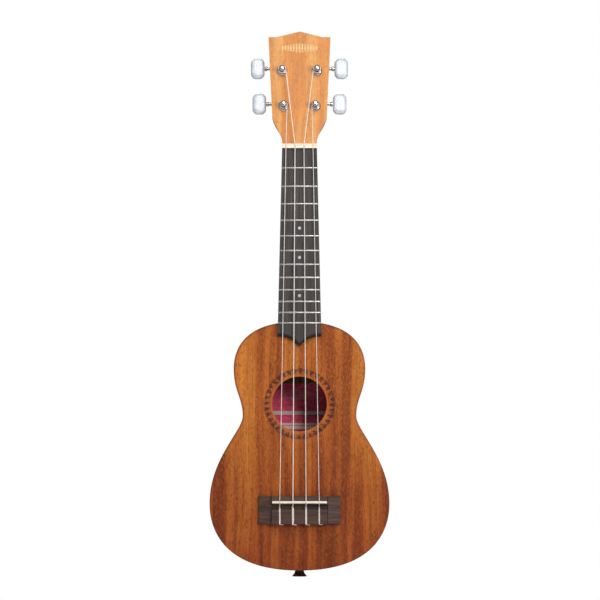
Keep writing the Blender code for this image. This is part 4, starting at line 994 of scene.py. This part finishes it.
def buildButtons():
    # a flat eight-sided knob: one over the radius is a high power mean of how far each side faces,
    # and the outline shrinks in a bevel to a flat on each face
    look = tunerSizes
    halfLong, halfWide, halfThick = look["buttonHalf"]
    faceLong, faceWide, reach = look["buttonCut"]
    power = look["buttonPower"]
    angle = roundAngles(96)[None, :]
    total = (np.abs(np.cos(angle)) / halfLong) ** power + (np.abs(np.sin(angle)) / halfWide) ** power
    for slant in (1, -1):
        total = total + np.abs((np.cos(angle) * faceLong + slant * np.sin(angle) * faceWide) / reach) ** power
    layers = np.array([(-1, 0.3), (-1, 0.66), (-0.97, 0.74), (-0.86, 0.83), (-0.62, 0.95), (-0.45, 0.99),
                       (-0.2, 1)])
    layers = np.concatenate([layers, layers[::-1] * (-1, 1)])
    radius, level = total ** (-1 / power) * layers[:, 1:], layers[:, :1] * halfThick
    for name, (x0, u0, side) in tuners.items():
        rings = headToWorld(x0 + side * (look["buttonFrom"] + halfLong) + radius * np.cos(angle),
                            u0 + look["wormAlong"] + radius * np.sin(angle), look["wormLevel"] + level)
        newPiece(f"buttonPearl_{name}", skin(rings), pearl, f"winder_{name}",
                 [f"button_{name}"], sharp=70)


def buildTunerPlates():
    # a pressed plate with rounded corners and two upright lugs that carry the shaft, held by two screws
    look = tunerSizes
    flat = roundedRectangle(look["plateHalf"], look["plateLow"], look["plateHigh"], 1.8)
    tab = roundedRectangle(3.5, -21, -12.9, 2.2)
    for name, (x0, u0, _) in tuners.items():
        place = onHead(x0, u0)
        shapes = [extruded(flat, look["plateTop"], look["plateUnder"], place)]
        for near, far in ((-5.3, -6.3), (5.3, 6.3)):
            shapes.append(skin([place(x, look["wormAlong"] + tab[:, 0], tab[:, 1]) for x in (near, far)]))
        newPiece(f"tunerPlatePressed_{name}", together(*shapes), plateMetal, root,
                 [f"tuner_plate_{name}"], bevel=0.25)
        for end, u in zip(("low", "high"), look["screws"]):
            head = screwHead(onHead(x0, u0 + u, look["plateUnder"] + 0.05), 2.2, 1.1)
            newPiece(f"plateScrew_{name}_{end}", head, plateMetal, root, sharp=30)


def buildStrapButton():
    profile = [(4.2, 0.1), (4.4, -0.2), (4.5, -1.4), (4.9, -2.6), (5.6, -3.8), (6.5, -4.8), (7.0, -5.3),
               (7.2, -5.7), (7.15, -6.1), (6.7, -6.35), (5.5, -6.4), (3.0, -6.1), (2.8, -5.9), (2.7, -6.2),
               (1.0, -6.35)]
    middle, top = -29.0, bodyTop - 246.4
    shape = lathe(profile, lambda x, u, n: faceToWorld(x, top + n, middle - u))
    newPiece("strapButtonTurned", shape, blackPlastic, root, ["strap_button"])


buildPosts()
buildGears()
buildWorms()
buildButtons()
buildTunerPlates()
buildStrapButton()
print("tuners made")


# Floor, light and camera

stageLook = {"floorLevel": -0.62, "floorHalf": 1.1, "floor": "#F4F3F1", "floorShade": "#EFEEEC"}
lightLook = {"key": 17.5, "upper": 7.6, "left": 1.2, "back": 10.0, "ambient": 0.28}


def buildStage():
    floorPaint, tree, place = newMaterial("paleMattFloor", {"Roughness": 0.8})
    speck = noise(tree, place, (30, 30, 30), 2.0)
    finished(floorPaint, shaded(tree, speck, (0.0, stageLook["floorShade"]), (1.0, stageLook["floor"])))
    angle = roundAngles(64)
    ring = stageLook["floorHalf"] * np.column_stack([np.cos(angle), np.sin(angle)])
    mesh = bpy.data.meshes.new("studioFloor")
    points = atLevel(ring, stageLook["floorLevel"])
    mesh.from_pydata(points.tolist(), [], [list(range(len(ring)))])
    mesh.materials.append(floorPaint)
    newObject("studioFloor", mesh)


def areaLight(name, place, target, size, power):
    lamp = bpy.data.lights.new(name, "AREA")
    lamp.size = size
    lamp.energy = power
    holder = newObject(name, lamp)
    holder.location = place
    holder.rotation_euler = (Vector(target) - Vector(place)).to_track_quat("-Z", "Y").to_euler()
    holder.visible_camera = False


def buildLight():
    world = bpy.data.worlds.new("paleStudio")
    world.use_nodes = True
    tree = world.node_tree
    shader = tree.nodes["Background"]
    seen = addNode(tree, "LightPath", {}, {}, "Is Camera Ray")
    level = stretched(tree, seen, 0, 1, lightLook["ambient"], 1.0)
    shader.inputs["Color"].default_value = (1, 1, 1, 1)
    tree.links.new(level, shader.inputs["Strength"])
    bpy.context.scene.world = world
    middle = (0, 0, -0.15)
    areaLight("keyRight", (0.95, -1.7, 0.3), middle, 0.45, lightLook["key"])
    areaLight("upperFront", (0.1, -0.95, 0.7), (0, 0, -0.05), 0.6, lightLook["upper"])
    areaLight("fillLeft", (-1.3, -1.1, -0.1), middle, 1.0, lightLook["left"])
    areaLight("backRim", (-0.3, 1.4, 0.9), middle, 0.9, lightLook["back"])
    bpy.context.scene.view_settings.view_transform = "Standard"


def buildCamera():
    lens = bpy.data.cameras.new("frontCamera")
    lens.lens = 500
    lens.sensor_width = 36
    camera = newObject("frontCamera", lens)
    camera.location = (0.0005, -8.2478, -0.1499)
    camera.rotation_euler = (math.radians(90), 0, 0)
    bpy.context.scene.camera = camera


buildStage()
buildLight()
buildCamera()
print("stage made")
